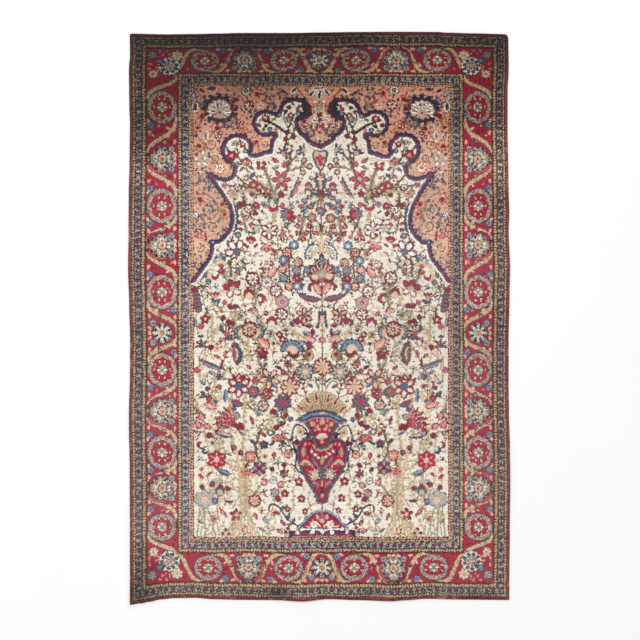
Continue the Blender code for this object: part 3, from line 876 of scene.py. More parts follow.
LOWER_FIELD = (
    Bloom(86, -109, 22, 60, CRIMSON, CRIMSON, WINE, 6, 92, 0.42, 0.1),
    Bloom(86, -109, 19, 62, WINE, ROSE, WINE, 5, 76, 0.34, 0.1), Berry(81, -111, 4.0),
    Leaf(119.5, -100, 7, 20, PINK, None, 3.6, edge=CRIMSON),
    Leaf(123, -108, 7, 30, PINK, None, 3.4, edge=CRIMSON),
    Leaf(114, -110, 7, 60, PINK, None, 3.4, edge=CRIMSON), Berry(92, -104, 2.6, CRIMSON),
    Leaf(98, -110, 7, 50, SLATE, TEAL, 3), Ring(84.5, -100, 3.4, 0, SLATE, GREY, KHAKI),
    Leaf(69, -104, 9, 20, CRIMSON, None, 2.4), Bloom(53, -62, 11, -40, WINE, PEACH, SLATE, 5, fat=0.6),
    Leaf(48, -68, 9, -130, LILAC, BLUE, 4), Leaf(39, -55, 6, 0, WINE, CRIMSON, 3.2),
    Bloom(32.5, -70.5, 9.5, 0, WINE, PEACH, TAN, 8, fat=0.95, point=0.6),
    Bloom(39, -86.5, 9.5, 20, PLUM, SLATE, CRIMSON, 8, fat=0.95, point=0.6),
    Ring(55.5, -77.5, 5.8, 0, CRIMSON, IVORY, TEAL), Ring(58.5, -89, 5.8, 0, TEAL, PEACH, CRIMSON),
    Berry(48, -95, 2.6), Berry(35.5, -99, 2.4), Berry(31, -103, 2.2, SLATE), Berry(39.5, -107.5, 2.6),
    Berry(45, -111, 2.6), Leaf(45, -98, 5, 40, BLUE, None, 2.2), Leaf(43, -106, 5, 20, SKY, None, 2.2),
    Leaf(63, -96, 7, 30, BLUE, SKY, 3), Leaf(97, -118, 18, 78, BLUE, PEACH, 5, 1, 0.8, edge=NAVY),
    Leaf(79, -116, 8, 60, BLUE, PEACH, 3.6), Berry(112, -119, 2.6), Crescent(121, -129, 3, -90, CRIMSON),
    Crescent(116, -134, 3.4, -60, TEAL), Berry(109, -127, 3, TAN, NAVY),
    Bloom(105, -143.5, 9.5, 0, CRIMSON, CRIMSON, PEACH, 6, fat=0.95, point=0.6),
    Berry(88, -131, 2.8, PLUM, ROSE), Berry(81, -136, 2.8, PLUM, ROSE),
    Bloom(71.5, -139.5, 6, 0, ROSE, PEACH, TAN, 8, fat=0.95, point=0.6),
    Leaf(69, -125, 7, 40, NAVY, BLUE, 3), Berry(120, -153, 2.2, ORANGE),
    Leaf(120, -160, 6, 50, CRIMSON, None, 2.2), Leaf(112, -158, 6, -50, CRIMSON, None, 2.2),
    Leaf(98, -155, 15, 70, SLATE, SKY, 5, 1, 1.0, edge=NAVY), Berry(109, -168, 3, PLUM, CRIMSON),
    Leaf(104, -165, 12, 80, GREY, None, 2.2), Fan(74.5, -159, 7, 0, CRIMSON, TAN, ROSE, 150),
    Bloom(62.5, -151.5, 7.6, 0, SLATE, SKY, PLUM, 4, fat=0.7),
    Bloom(62.5, -151.5, 7.6, 45, WINE, CRIMSON, PLUM, 4, fat=0.5),
    Leaf(58, -118, 6, 50, CRIMSON, None, 2.4), Berry(51, -116, 3, SLATE, WHITE),
    Fan(43.5, -125, 7, 0, CRIMSON, TAN, ROSE, 160), Leaf(50, -127, 6, 120, TEAL, None, 2.2),
    Leaf(38, -127, 6, -120, TEAL, None, 2.2), Bloom(58, -128, 4.6, 0, TEAL, TEAL, CRIMSON, 5),
    Leaf(48, -139, 6, 0, WINE, CRIMSON, 3.6), Ring(34, -138, 4.2, 0, ROSE, PEACH, SLATE),
    Berry(57, -140, 3, TAN, BROWN), Bloom(21.5, -116, 4.8, 0, TAN, PEACH, KHAKI, 6), Berry(12.6, -118.5, 2),
    Berry(25.6, -126.5, 2.2), Berry(50, -153, 2.6, PLUM), Berry(38, -149, 2.2),
    Bloom(38, -157, 5.4, 0, PLUM, SLATE, CRIMSON, 6), Ring(57, -166, 3.8, 0, PLUM, PINK, TAN),
    Ring(48.5, -164, 3.6, 0, LILAC, WHITE, PLUM), Ring(41, -168.5, 3.8, 0, PLUM, PINK, TAN),
    Bloom(23, -165, 4.6, 0, WINE, CRIMSON, PEACH, 5),
    Bloom(116, -184, 10.5, 0, SKY, GREY, PINK, 5, 200, 1.1, 0.4),
    Bloom(116, -184, 8, 180, SKY, GREY, PEACH, 3, 140, 1.1, 0.4), Berry(106, -185, 3, BLUE, SKY),
    Crescent(101, -174, 4.5, 180, TEAL, GREY), Berry(93, -172, 2.2), Berry(119, -171, 2.2),
    Berry(101, -170, 2), Leaf(92, -183.5, 11, 86, NAVY, None, 2.6, 1.5),
    Leaf(98, -195.5, 12, 40, CRIMSON, None, 2.6), Bloom(85, -198, 6.5, 0, WINE, CRIMSON, PEACH, 5, fat=0.6),
    Leaf(121, -205, 7, 60, PLUM, LILAC, 3.4), Leaf(76.5, -214, 7, 0, PEACH, None, 3.6, edge=CRIMSON),
    Berry(96, -213, 1.4), Berry(99, -217, 1.4), Berry(93, -217, 1.4),
    Ring(66.5, -184.5, 6.4, 0, WINE, PEACH, LILAC), Ring(46.5, -176.5, 4.2, 0, SLATE, GREY, ROSE),
    Bloom(36.5, -177.5, 4, 0, WINE, CRIMSON, PEACH, 5), Berry(43, -182.5, 2.6),
    Stem(((52, -195), (52, -190), (48, -188), (43, -190.5), (38, -197), (34, -203), (24, -209)), NAVY, 1.8),
    Leaf(39.5, -192.5, 6, -20, BLUE, None, 2.2), Leaf(33, -199.5, 6, -20, BLUE, None, 2.4),
    Leaf(28.5, -204, 6, -30, BLUE, None, 2.4), Bloom(45, -198, 3.6, 0, WINE, CRIMSON, ROSE, 3, 120),
    Leaf(56, -204, 7, 40, LILAC, SKY, 4), Bloom(20, -182, 4, 0, WINE, CRIMSON, PEACH, 5),
    Bloom(34, -192.5, 3.2, 0, WINE, CRIMSON, PEACH, 5), Bloom(16.6, -194.5, 3, 0, WINE, CRIMSON, PEACH, 5),
    Leaf(39, -206, 7, 30, WINE, CRIMSON, 3), Leaf(42, -215, 7, 70, CRIMSON, None, 2.8),
    Bloom(34, -214, 4, 0, WINE, CRIMSON, GREY, 3), Berry(35, -218.5, 2, GREY),
    Leaf(66, -200, 7, 20, WINE, CRIMSON, 2.6), Leaf(108, -202, 7, 20, WINE, CRIMSON, 3),
    Leaf(60, -213, 7, 60, SLATE, SAGE, 3),
)

MIDDLE_LINE = (
    # From the niche's point down to the vase.
    Leaf(3, 141, 6, 20, PLUM, LILAC, 4.4), Leaf(9, 137.5, 6.5, 60, PLUM, GREY, 4),
    Crescent(12, 130.5, 3.4, 180, CRIMSON, SKY), Crescent(12.6, 124.5, 3.4, 180, CRIMSON, WHITE),
    Leaf(11.5, 119, 5.5, 60, WINE, CRIMSON, 3.6), Stem(((5, 137), (3, 131), (1, 126)), TEAL, 2.6),
    Stem(((9, 128), (5, 126), (2, 123)), BROWN, 1.4), Stem(((9, 123), (5, 122), (2, 119)), TEAL, 2.0),
    Stem(((0, 139), (0, 127)), PEACH, 1.8), Stem(((0, 120), (0, 112)), ORANGE, 2.0), Berry(0, 123.5, 3.2),
    Stem(((1, 119), (4, 114), (6, 113)), KHAKI, 1.2),
    Bloom(0, 105.3, 5.6, 0, PLUM, LILAC, SKY, 8, fat=0.95, point=0.6),
    Leaf(3.5, 88, 6, 30, PEACH, TAN, 4, edge=BROWN), Leaf(6, 83.5, 7, 70, WINE, CRIMSON, 3),
    Leaf(0, 88, 10, 0, PLUM, None, 3.4), Stem(((6, 96), (2, 92), (0, 86)), BROWN, 1.4),
    Stem(((6, 78), (2.5, 72), (1, 62)), TAN, 2.4), Stem(((0, 82), (0, 66)), PEACH, 1.4),
    Berry(0, 82.5, 2.4, SAGE), Fan(6, 62, 10.5, 48, SLATE, WHITE, TAN, 140, 18),
    Bloom(0, 40, 16, 0, WINE, PEACH, SKY, 9, 170, 0.75, 0.3, 0.9), Crescent(6, 38, 5.4, 20, WINE, PEACH),
    Stem(((6, 42), (13, 46)), NAVY, 1.0), Bloom(14, 46.5, 4.2, 40, BLUE, SKY, SKY, 5),
    Stem(((3, 36), (10, 36)), NAVY), Berry(0, 60.5, 2.4, NAVY), Bloom(0, 55.5, 4.4, 0, SLATE, SKY, BLUE, 5),
    Berry(0, 42, 4.4, LILAC, GREY), Berry(0, 36, 2.2, ORANGE),
    Leaf(4.5, 28, 13, 30, PEACH, PINK, 5, edge=CRIMSON), Stem(((7, 33.5), (13, 31), (12.5, 27)), WINE, 2.2),
    Leaf(0, 16, 8, 0, SAGE, None, 3), Stem(((0, 12), (3, 8)), KHAKI), Stem(((3, 5), (3, -5)), PLUM, 2.6),
    Stem(((3, -5), (5, -11)), SLATE, 1.6), Berry(0, 3, 1.8, BLUE),
    Leaf(0, -4, 7, 0, PEACH, None, 3.6, edge=TAN), Stem(((0, -8), (0, -32)), KHAKI, 1.6),
    Berry(0, -14, 2.6, TAN, ORANGE), Bloom(0, -24, 3.6, 0, ROSE, PEACH, TAN, 6),
    Leaf(9.5, -15.5, 8, 0, PLUM, MAGENTA, 3.6), Leaf(15, -17, 8, 60, SLATE, GREY, 4, edge=PLUM),
    Leaf(12, -28.5, 8, 20, MAGENTA, CRIMSON, 3.2), Leaf(18, -26, 7, 60, LILAC, SLATE, 3.6),
    Leaf(12, -22, 12, 66, PEACH, PINK, 5, edge=PLUM), Leaf(5, -19.5, 4, -80, PLUM, None, 2),
    Bloom(0, -50.5, 9.2, 18, WINE, PEACH, TAN, 10, fat=1.05, point=0.5),
    Stem(((0, -33), (0, -42)), BROWN, 1.6), Stem(((0, -59), (0, -74)), KHAKI, 1.6),
    Stem(((3, -74), (8, -65), (14, -65), (15, -70)), KHAKI, 1.4),
    Leaf(12.5, -69.5, 6, 60, SLATE, None, 1.8), Leaf(6, -63, 6, 50, SLATE, None, 1.8),
)


@dataclass(frozen=True)
class Niche:
    """The lobed arch that the field ends in, and the spandrels over it."""

    band: float = 2.7
    # Stretches of the arch from the side to the middle line; each ends in a cusp or a point.
    stretches: tuple[tuple[Point, ...], ...] = (
        ((127.3, 35), (117, 49), (111, 57), (108, 66), (108, 73.5)),
        ((108, 73.5), (101.6, 74), (95, 80), (90, 87.5), (88.2, 97), (90, 108), (95, 118), (101, 128),
         (110.8, 142)),
        ((110.8, 142), (101.5, 137.5), (94, 136.3), (86.5, 140), (83.4, 150)),
        (*arc(84, 167, 13.5, 13.5, 161, -88), (73.5, 165)),
        ((73.5, 165), (69, 160), (61.5, 160), (55.5, 162.4), (49.2, 163.6)),
        ((49.2, 163.6), (47, 176), (43.8, 179.8), (44.4, 183.5)),
        (*arc(54.5, 193, 11.2, 11, 197, -40), (41, 199.7)),
        arc(24.2, 207, 13.6, 9.0, 84, -160),
        ((22.4, 199), (24.6, 195), (23.6, 188.5), (20.6, 183.5), (15.6, 179.8), (13, 176), (8, 172.3),
         (0, 168.6)),
    )
    # Places of the band's curled ends, where lobes meet.
    curls: Rows = ((40.5, 201), (51, 186.5), (21.5, 202.5), (75.5, 165.5), (83, 152), (108, 74))
    # Scrolls of the spandrels: middle, size, turn and hand.
    scrolls: Rows = (
        (119, 216, 5.5, 40, 1), (84, 217, 6, 200, -1), (119, 200, 6, -60, 1), (88, 196, 5, 120, -1),
        (104, 188, 6, 10, 1), (124, 189, 4.5, 150, -1), (110, 172, 6, 90, 1), (122, 170, 5, -30, -1),
        (106, 158, 4.5, 180, 1), (119, 141, 6, 30, -1), (113, 132, 4, 120, 1), (121, 117, 6, -40, 1),
        (112, 106, 6, 160, -1), (99, 112, 5, 60, 1), (97, 102, 4.5, -120, -1), (121, 91, 5.5, 20, 1),
        (108, 90, 5.5, 200, -1), (98, 84, 4, 90, 1), (121, 68, 5, 0, -1), (113, 64, 4, 120, 1),
        (122, 51, 4, 40, 1), (63, 223, 5, 90, -1), (50, 222, 5, -40, 1), (48, 209, 3.5, 120, -1),
        (36, 221, 4.5, 10, 1), (66, 203, 4, 60, 1), (76, 183, 4.5, -90, 1), (64, 174, 5, 30, -1),
        (56, 172, 4, 160, 1), (30, 191, 4, 60, -1), (33, 198, 3.5, 200, 1), (8, 205, 3.5, 90, 1),
        (10, 184, 3.5, -30, -1), (86, 180, 4, 60, 1), (94, 193, 4, -90, -1),
    )
    spandrel: tuple[Motif | Stem, ...] = (
        Stem(((122, 222), (112, 216), (104, 222), (92, 220), (84, 214)), ORANGE, 1.2),
        Stem(((84, 200), (92, 190), (104, 188), (112, 178), (118, 164)), ORANGE, 1.2),
        Stem(((68, 216), (60, 222), (48, 220), (40, 224), (30, 222)), ORANGE, 1.2),
        Stem(((118, 160), (108, 158), (102, 150)), KHAKI, 1.0),
        Stem(((120, 90), (110, 96), (104, 106), (108, 118), (118, 124)), KHAKI, 1.4),
        Stem(((102, 100), (98, 92), (104, 84), (114, 80)), SAGE, 1.4),
        Stem(((116, 84), (115, 76)), CRIMSON, 1.6), Leaf(93, 227, 8, 60, KHAKI, SAGE, 3),
        Leaf(109, 227.5, 9, 90, BLUE, NAVY, 3.4), Leaf(119, 226, 8, 60, NAVY, None, 3),
        Leaf(126, 210, 9, 0, BLUE, NAVY, 4.2, edge=WHITE), Bloom(126, 221, 3.6, 0, SKY, WHITE, BLUE, 5),
        Ring(74, 226, 5.4, 0, UMBER, IVORY, CRIMSON, 10), Leaf(86, 223, 6, 30, ORANGE, None, 2.6),
        Berry(71.5, 211, 5.2, WINE), Bloom(71.5, 211, 4.6, 0, WHITE, WHITE, WINE, 6, fat=0.5),
        Bloom(82, 192, 6.4, 0, WINE, PEACH, ROSE, 6), Leaf(121, 213, 6, 60, ORANGE, None, 2.6),
        Leaf(120, 196, 6, 20, ORANGE, None, 2.6), Leaf(115, 180, 9, 0, SLATE, GREY, 3.2, edge=WHITE),
        Bloom(125, 181, 4, 0, OXBLOOD, WHITE, CRIMSON, 5), Bloom(103, 182, 4.8, 0, WINE, WHITE, CRIMSON, 5),
        Leaf(55, 215, 9, 60, ROSE, ORANGE, 3), Bloom(59, 211, 4, 0, TAN, WHITE, ROSE, 5),
        Bloom(16, 191, 5, 0, BROWN, WHITE, ORANGE, 6), Berry(16, 195.5, 1.6),
        *(Berry(out, up, 2.5, GREY, WHITE)
          for out, up in ((118, 163.5), (125, 157.5), (116, 158), (122, 152.5), (116, 152.5))),
        Leaf(111, 161, 7, 40, BLUE, SLATE, 3), Leaf(121, 143, 7, 20, CRIMSON, WHITE, 3),
        Leaf(123, 133, 7, 120, LILAC, CRIMSON, 3), Leaf(112, 128.5, 5, 0, BLUE, None, 2.6),
        Leaf(124, 123.5, 5, 60, CRIMSON, None, 2.6), Ring(101, 148, 6, 0, ORANGE, WHITE, CRIMSON),
        Leaf(119, 99, 9, 30, SLATE, SAGE, 3.4), Leaf(102, 96, 9, -30, SLATE, SAGE, 3.4),
        Ring(125.5, 101, 3.6, 0, BLUE, WHITE, ROSE), Bloom(103.5, 106.5, 4, 0, SAGE, SAGE, UMBER, 5),
        Fan(125, 79, 6.5, -20, CRIMSON, GREY, ROSE, 170), Bloom(118, 72, 4.6, 0, TAN, KHAKI, BROWN, 5),
        Leaf(121, 60, 6, 20, GREY, SLATE, 3), Leaf(107, 115, 5, 60, BLUE, None, 2.6),
        Leaf(25, 226, 8, -50, NAVY, BLUE, 3, edge=WHITE), Leaf(35, 224, 6, 50, NAVY, None, 3),
        Leaf(7.5, 223.5, 8, -45, NAVY, BLUE, 3, edge=WHITE),
        Leaf(0, 221.5, 9, 0, NAVY, BLUE, 3.4, edge=WHITE), Leaf(3, 228, 6, 90, WINE, None, 2.6, edge=WHITE),
        Stem(((22, 228), (15, 221), (6, 215)), ORANGE, 2.6),
        Stem(((20, 228), (13, 220), (5, 214)), PEACH, 1.0),
        Fan(0, 204, 11, 0, ORANGE, PEACH, GREY, 150, 12), Berry(0, 209, 3, SAGE, GREY),
        Berry(4.4, 214.5, 1.4, WHITE), Bloom(0, 196, 10, 0, WHITE, WINE, WINE, 8, fat=0.62, core=0.2),
        Berry(0, 201.5, 2.8, WINE), Leaf(2.6, 189, 7, 160, WINE, None, 2.2, edge=PINK),
        Berry(0, 183.5, 1.8), Bloom(0, 178.5, 4.4, 0, SAGE, WHITE, GREY, 6), Berry(0, 174.5, 1.4),
    )

    def line(self) -> np.ndarray:
        """The arch as one line from the side to the middle line."""
        return np.vstack([smooth_line(stretch) for stretch in self.stretches])

    def draw(self, drawing: Drawing) -> None:
        """Paint the spandrels, the field under the arch and the band between them."""
        line = self.line()
        low, side, head = FIELD_FOOT, FIELD_SIDE, FIELD_HEAD
        drawing.area(np.array(((-2, low), (side, low), (side, head), (-2, head))), SALMON)
        for figure in self.spandrel:
            figure.draw(drawing)
        self.medallion(drawing, 101, 207, 16)
        for out, up, size, turn, hand in self.scrolls:
            yarns = ((BROWN, PEACH, TAN), (ORANGE, KHAKI, WINE), (BROWN, SLATE, GREY))[round(out + up) % 3]
            Scroll(out, up, size, turn, *yarns, hand).draw(drawing)
        sprinkle(drawing, 14, SALMON, (KHAKI, SAGE, SLATE, GREY, KHAKI, LILAC), 2600, 3.0, high=150)
        sprinkle(drawing, 13, SALMON, (KHAKI, BROWN, UMBER, NAVY, OXBLOOD, UMBER, SAGE), 3600, 2.3, 200)
        sprinkle(drawing, 11, SALMON, (ORANGE, BROWN, GREY, OXBLOOD, KHAKI, SAGE, LILAC, BROWN, SLATE, PINK,
                                       NAVY, WHITE), 6400, 2.1)
        sprinkle(drawing, 12, SALMON, (ORANGE, PEACH, BROWN, KHAKI, GREY, SLATE, GREY, PINK), 8200, 1.3)
        drawing.outline(SALMON, 1)
        drawing.area(np.vstack((line, ((-2, 168.6), (-2, low), (side, low), (side, 35)))), IVORY)
        drawing.stroke(line, self.band + 2.0, WHITE, 1.2)
        drawing.stroke(line[::-1], 1.6, NAVY, 1.7, teeth=1.2, pitch=4.6)
        drawing.stroke(line, self.band, NAVY, -0.3)
        drawing.stroke(line, self.band - 0.8, PLUM, -0.5)
        drawing.stroke(line, 1.2, BLUE, 1.1)
        drawing.stroke(line, 1.0, MAGENTA, -0.5, pitch=31.0, dash=0.35)
        inner = smooth_line(((12.6, 214.5), (10.2, 207), (12.5, 201.5), (18, 198.6)))
        drawing.stroke(inner, 4.4, PLUM, 0.6)
        drawing.stroke(inner, 3.4, NAVY, 4.0, teeth=2.6, pitch=3.4)
        for out, up in self.curls:
            drawing.disc(out, up, 2.6, NAVY)
            drawing.disc(out, up, 1.5, SKY)
        shoulder = smooth_line(((88.2, 86), (86.4, 97), (88.2, 110)))
        drawing.stroke(shoulder, 1.2, TEAL, 1.4, teeth=1.8, pitch=3.0)
        half = smooth_line(((127, 26), (124.5, 15), (123, 7)))
        drawing.stroke(half, 7.0, SLATE, teeth=-1.5, pitch=4.0)
        drawing.stroke(half, 6.0, WINE, pitch=4.0, dash=0.4)

    @staticmethod
    def medallion(drawing: Drawing, out: float, up: float, size: float) -> None:
        """Paint the round palmette of a spandrel: serrated ring, petals, rays and heart."""
        drawing.dots(out, up, 13, size * 1.0, 2.5, NAVY, squeeze=0.84)
        drawing.dots(out, up, 13, size * 1.14, 1.4, BLUE, 6, squeeze=0.84)
        drawing.disc(out, up, size * 1.04, NAVY, 16, 0.12, squeeze=0.82)
        drawing.disc(out, up, size * 0.94, PLUM, 16, 0.12, squeeze=0.82)
        drawing.disc(out, up, size * 0.80, KHAKI, 12, 0.12, squeeze=0.80)
        drawing.disc(out, up, size * 0.75, GREY, 12, 0.12, squeeze=0.78)
        drawing.petals(out, up - 3, 11, size * 0.2, size * 0.8, 1.1, WHITE, 0, 220)
        drawing.petals(out, up - 3, 8, size * 0.2, size * 0.62, 0.8, WINE, 0, 230)
        drawing.petals(out, up - 3, 7, size * 0.3, size * 0.7, 0.6, SAGE, 0, 200)
        drawing.disc(out, up - 3, size * 0.17, PINK, 8)
        drawing.disc(out, up - 3, size * 0.09, WINE)
        drawing.petals(out, up, 2, size * 0.85, size * 1.2, 2.0, NAVY, 0, 180)
        drawing.disc(out - 12.5, up + 1, 2.4, MAGENTA)


def sprinkle(drawing: Drawing, seed: int, ground: Yarn, yarns: Sequence[Yarn], tries: int, free: float,
             low: float = FIELD_FOOT, high: float = FIELD_HEAD) -> None:
    """Strew small leaves, sprigs and dots over ground that is still bare.

    Args:
        drawing: the paper.
        seed: seed of the strewing.
        ground: the silk that bare ground has.
        yarns: silks of the sprigs.
        tries: how many places are tried.
        free: how far round a sprig the ground has to be bare.
        low: the lowest row that is tried.
        high: the highest row that is tried.
    """
    random = np.random.default_rng(seed)
    for _ in range(tries):
        out, up = random.uniform(0, FIELD_SIDE - 1), random.uniform(low + 1, high - 1)
        if not drawing.bare(out, up, free, ground):
            continue
        yarn = yarns[random.integers(len(yarns))]
        turn, kind = random.uniform(-180, 180), random.integers(4)
        if kind == 0:
            drawing.dots(out, up, 3, free * 0.5, 0.75, yarn, turn)
        elif kind == 1:
            Leaf(out, up, free * 1.9, turn, yarn, None, 1.6, free * 0.3).draw(drawing)
        elif kind == 2:
            Bloom(out, up, free * 0.85, turn, yarn, yarn, ground, 5, core=0.25).draw(drawing)
        else:
            Crescent(out, up, free * 0.8, turn, yarn).draw(drawing)


def sprigs(drawing: Drawing, seed: int, tries: int, free: float = 3.2, stalk: float = 6.0) -> None:
    """Strew three-leaved sprigs on short stems over ivory ground that is still bare.

    Args:
        drawing: the paper.
        seed: seed of the strewing.
        tries: how many places are tried.
        free: how far round a sprig the ground has to be bare.
        stalk: its stem's length.
    """
    random = np.random.default_rng(seed)
    dyes = ((WINE, ROSE), (TEAL, SKY), (WINE, PEACH), (BLUE, GREY), (CRIMSON, PINK), (KHAKI, SAGE))
    for _ in range(tries):
        out, up = random.uniform(4, FIELD_SIDE - 5), random.uniform(FIELD_FOOT + 6, 150)
        if not drawing.bare(out, up, free, IVORY):
            continue
        turn = random.uniform(-70, 70)
        sine, cosine = heading(turn)
        drawing.over = IVORY
        Stem(((out - stalk * sine, up - stalk * cosine), (out, up)), BROWN, 0.8).draw(drawing)
        drawing.over = None
        leaf, inner = dyes[random.integers(len(dyes))]
        Bloom(out, up - 1, 4.4, turn, leaf, inner, BROWN, 3, 130, 0.5).draw(drawing)


def vines(drawing: Drawing, seed: int, count: int, step: float = 5.2) -> None:
    """Let leafy stems grow up through the bare ivory ground, behind all that stands on it.

    Args:
        drawing: the paper.
        seed: seed of their wandering.
        count: how many stems.
        step: squares from point to point of a stem.
    """
    random = np.random.default_rng(seed)
    drawing.over = IVORY
    for _ in range(count):
        out, up = random.uniform(2, FIELD_SIDE - 3), random.uniform(FIELD_FOOT, 120)
        turn, bend = random.uniform(-50, 50), random.uniform(-14, 14)
        low = up < -150
        stem, leaf = ((TAN, TAN), (TAN, SAGE), (SAGE, PEACH), (KHAKI, PEACH))[random.integers(4)]
        if not low and random.random() < 0.55 + up / 500:
            stem, leaf = BROWN, (KHAKI, WINE, TEAL)[random.integers(3)]
        points = [(out, up)]
        for _ in range(random.integers(4, 8)):
            turn += bend + random.uniform(-16, 16)
            sine, cosine = heading(turn)
            out, up = min(max(out + step * sine, 1.0), FIELD_SIDE - 2), up + step * cosine
            points.append((out, up))
        Stem(tuple(points), stem, 0.95, leaf).draw(drawing)
    drawing.over = None


@dataclass(frozen=True)
class Vase:
    """The vase under the flowers, its fan, its curled handles and its foot."""

    rim: tuple[Point, ...] = (
        (0, -94), (10, -95.5), (20, -101), (24, -104), (17, -105), (9, -101), (0, -100),
    )
    mouth: tuple[Point, ...] = (
        (0, -99), (9, -100.5), (17, -104.5), (12.2, -113), (8.4, -121), (6.2, -127.5), (5.4, -130),
        (0, -130.6),
    )
    body: tuple[Point, ...] = (
        (0, -132), (5, -130.5), (7.5, -125.5), (11.5, -122.6), (16.5, -122.6), (21, -125.5), (24, -131),
        (24.4, -140), (22, -150), (17.5, -159), (11, -169.5), (6, -177.5), (3.8, -185.5), (0, -185.7),
    )
    foot: tuple[Point, ...] = (
        (0, -195.4), (6, -195.5), (14.4, -201.3), (20.2, -207.5), (25, -212.5), (14, -212.6), (0, -213.4),
    )
    handle: tuple[Point, ...] = (
        (14.5, -121), (15, -115), (20, -110), (26, -109), (29, -116), (29.7, -124), (26, -140),
        (26.7, -151), (19.5, -157.5),
    )
    lances: Rows = ((6, -81.5, 11, 13), (14.3, -84.6, 11, 34), (21.1, -92, 10, 48))
    within: tuple[Motif | Stem, ...] = (
        Stem(((0, -96.5), (2, -97)), PEACH, 1.6), Leaf(9, -107.5, 6, 30, TAN, SAGE, 4, edge=ROSE),
        Leaf(0, -105, 7, 0, TAN, SAGE, 5, edge=ROSE), Leaf(3.4, -112.5, 5, 50, PEACH, None, 2.2),
        Fan(0, -124, 7.5, 0, WHITE, PEACH, TAN, 120, 18), Leaf(0, -125, 5, 0, TAN, None, 3.4),
        Leaf(18.8, -135.5, 9, 0, TAN, SAGE, 3.6, edge=ROSE), Berry(17, -128, 1.6, PINK),
        Berry(10.7, -135.2, 1.4, WHITE), Berry(7.2, -138, 1.4, WHITE), Berry(3.8, -141, 1.4, WHITE),
        Stem(((9, -129), (6, -132.5), (0, -134.2)), TAN, 2.2),
        Leaf(0, -144, 9, 0, TAN, PEACH, 4, edge=WINE),
        Stem(((10.4, -141), (6, -147), (0, -155)), SLATE, 3.0),
        Stem(((10, -142), (6, -148), (0, -156)), SKY, 1.0),
        Stem(((13, -130), (14.5, -136), (11, -142)), PLUM, 1.4),
        Fan(16.8, -149, 6, 0, TAN, PEACH, KHAKI, 170, 12), Leaf(17, -151.5, 7, 90, BROWN, None, 1.6),
        Leaf(10, -149.5, 6, 10, PINK, None, 2.2), Stem(((0, -152), (0, -162)), SLATE, 4.4),
        Stem(((6.5, -168.5), (11, -168.4)), SLATE, 2.6), Berry(7.8, -158, 5.8, UMBER),
        Bloom(7.8, -158, 6.2, 0, WHITE, WHITE, PEACH, 12, fat=0.62, core=0.32),
        Leaf(0, -167, 6, 0, CRIMSON, None, 4), Stem(((4, -168), (8.5, -165.5)), LILAC, 2.0),
        Berry(0, -172, 1.6, UMBER), Berry(0, -176, 2.0, NAVY), Berry(0, -179, 1.8, TAN),
    )
    pedestal: tuple[Motif | Stem, ...] = (
        Leaf(4.6, -200.6, 5, 10, TAN, GREY, 2.8), Berry(0, -204.6, 2.4, GREY),
        Leaf(0, -199, 6, 0, ROSE, None, 2.4), Stem(((8, -199), (15, -206)), PLUM, 1.2),
        Bloom(8, -208.2, 4.2, 20, WHITE, WHITE, GREY, 7, fat=1.0, point=0.5),
        Leaf(2.6, -209.5, 4, 30, PEACH, None, 1.8), Leaf(14, -210.5, 6, 80, PEACH, None, 1.8),
    )

    def draw(self, drawing: Drawing) -> None:
        """Paint the fan over the vase, then the vase, its handles and its foot."""
        drawing.disc(0, -101, 27, SAGE, 36, 0.05, spread=150)
        drawing.petals(0, -101, 18, 4, 26, 1.0, TAN, 0, 150)
        drawing.petals(0, -101, 17, 6, 25, 0.7, KHAKI, 0, 142, 0.6)
        drawing.dots(0, -101, 17, 24, 0.9, PEACH, 0, 142)
        for out, up, size, turn in self.lances:
            Leaf(out, up, size, turn, WINE, None, 2.4, edge=PEACH).draw(drawing)
        for points, edge in ((self.body, SLATE), (self.mouth, SLATE), (self.foot, SKY)):
            self.shell(drawing, points, edge)
        self.shell(drawing, self.rim, NAVY, BLUE)
        drawing.stroke(smooth_line(((0, -97), (10, -98.6), (18.5, -103))), 1.0, SKY)
        drawing.stroke(smooth_line(self.rim[3:]), 1.0, LILAC, 1.0)
        drawing.stroke(smooth_line(self.handle), 1.7, NAVY)
        for out, up, turn in ((31.5, -124, 60), (31, -134, 100), (29.5, -149, 60)):
            Leaf(out, up, 5, turn, NAVY, None, 2).draw(drawing)
        drawing.disc(16.5, -117.5, 1.6, NAVY)
        for figure in (*self.within, *self.pedestal):
            figure.draw(drawing)
        self.base(drawing)

    @staticmethod
    def shell(drawing: Drawing, points: Sequence[Point], edge: Yarn, ground: Yarn = CRIMSON) -> None:
        """Paint one vessel wall: its ground, a plum line inside and the edge line."""
        line = smooth_line(points)
        drawing.area(np.vstack((line, ((-2, points[-1][1]), (-2, points[0][1])))), ground)
        if ground is CRIMSON:
            drawing.stroke(line, 1.4, PLUM, -1.4)
        drawing.stroke(line, 1.6, edge)

    @staticmethod
    def base(drawing: Drawing) -> None:
        """Paint the row of flowers that the foot stands on."""
        drawing.stroke(np.array(((0, -217.2), (30, -217.2))), 7.0, NAVY)
        drawing.stroke(np.array(((0, -214.0), (20, -212.4))), 1.2, WHITE)
        for out, up, size in ((0, -215.6, 2.4), (9.5, -215.8, 2.6), (20, -213, 2.2), (25, -216, 2.4)):
            Bloom(out, up, size, 0, WHITE, WHITE, PEACH, 6, fat=1.0, point=0.5).draw(drawing)
        for out, turn in ((4.8, 0), (14.5, 60), (20, 90), (27, 60)):
            Leaf(out, -217.6, 6, turn, MAGENTA, CRIMSON, 3).draw(drawing)
        drawing.stroke(np.array(((0, -220), (30, -220))), 1.2, LILAC)


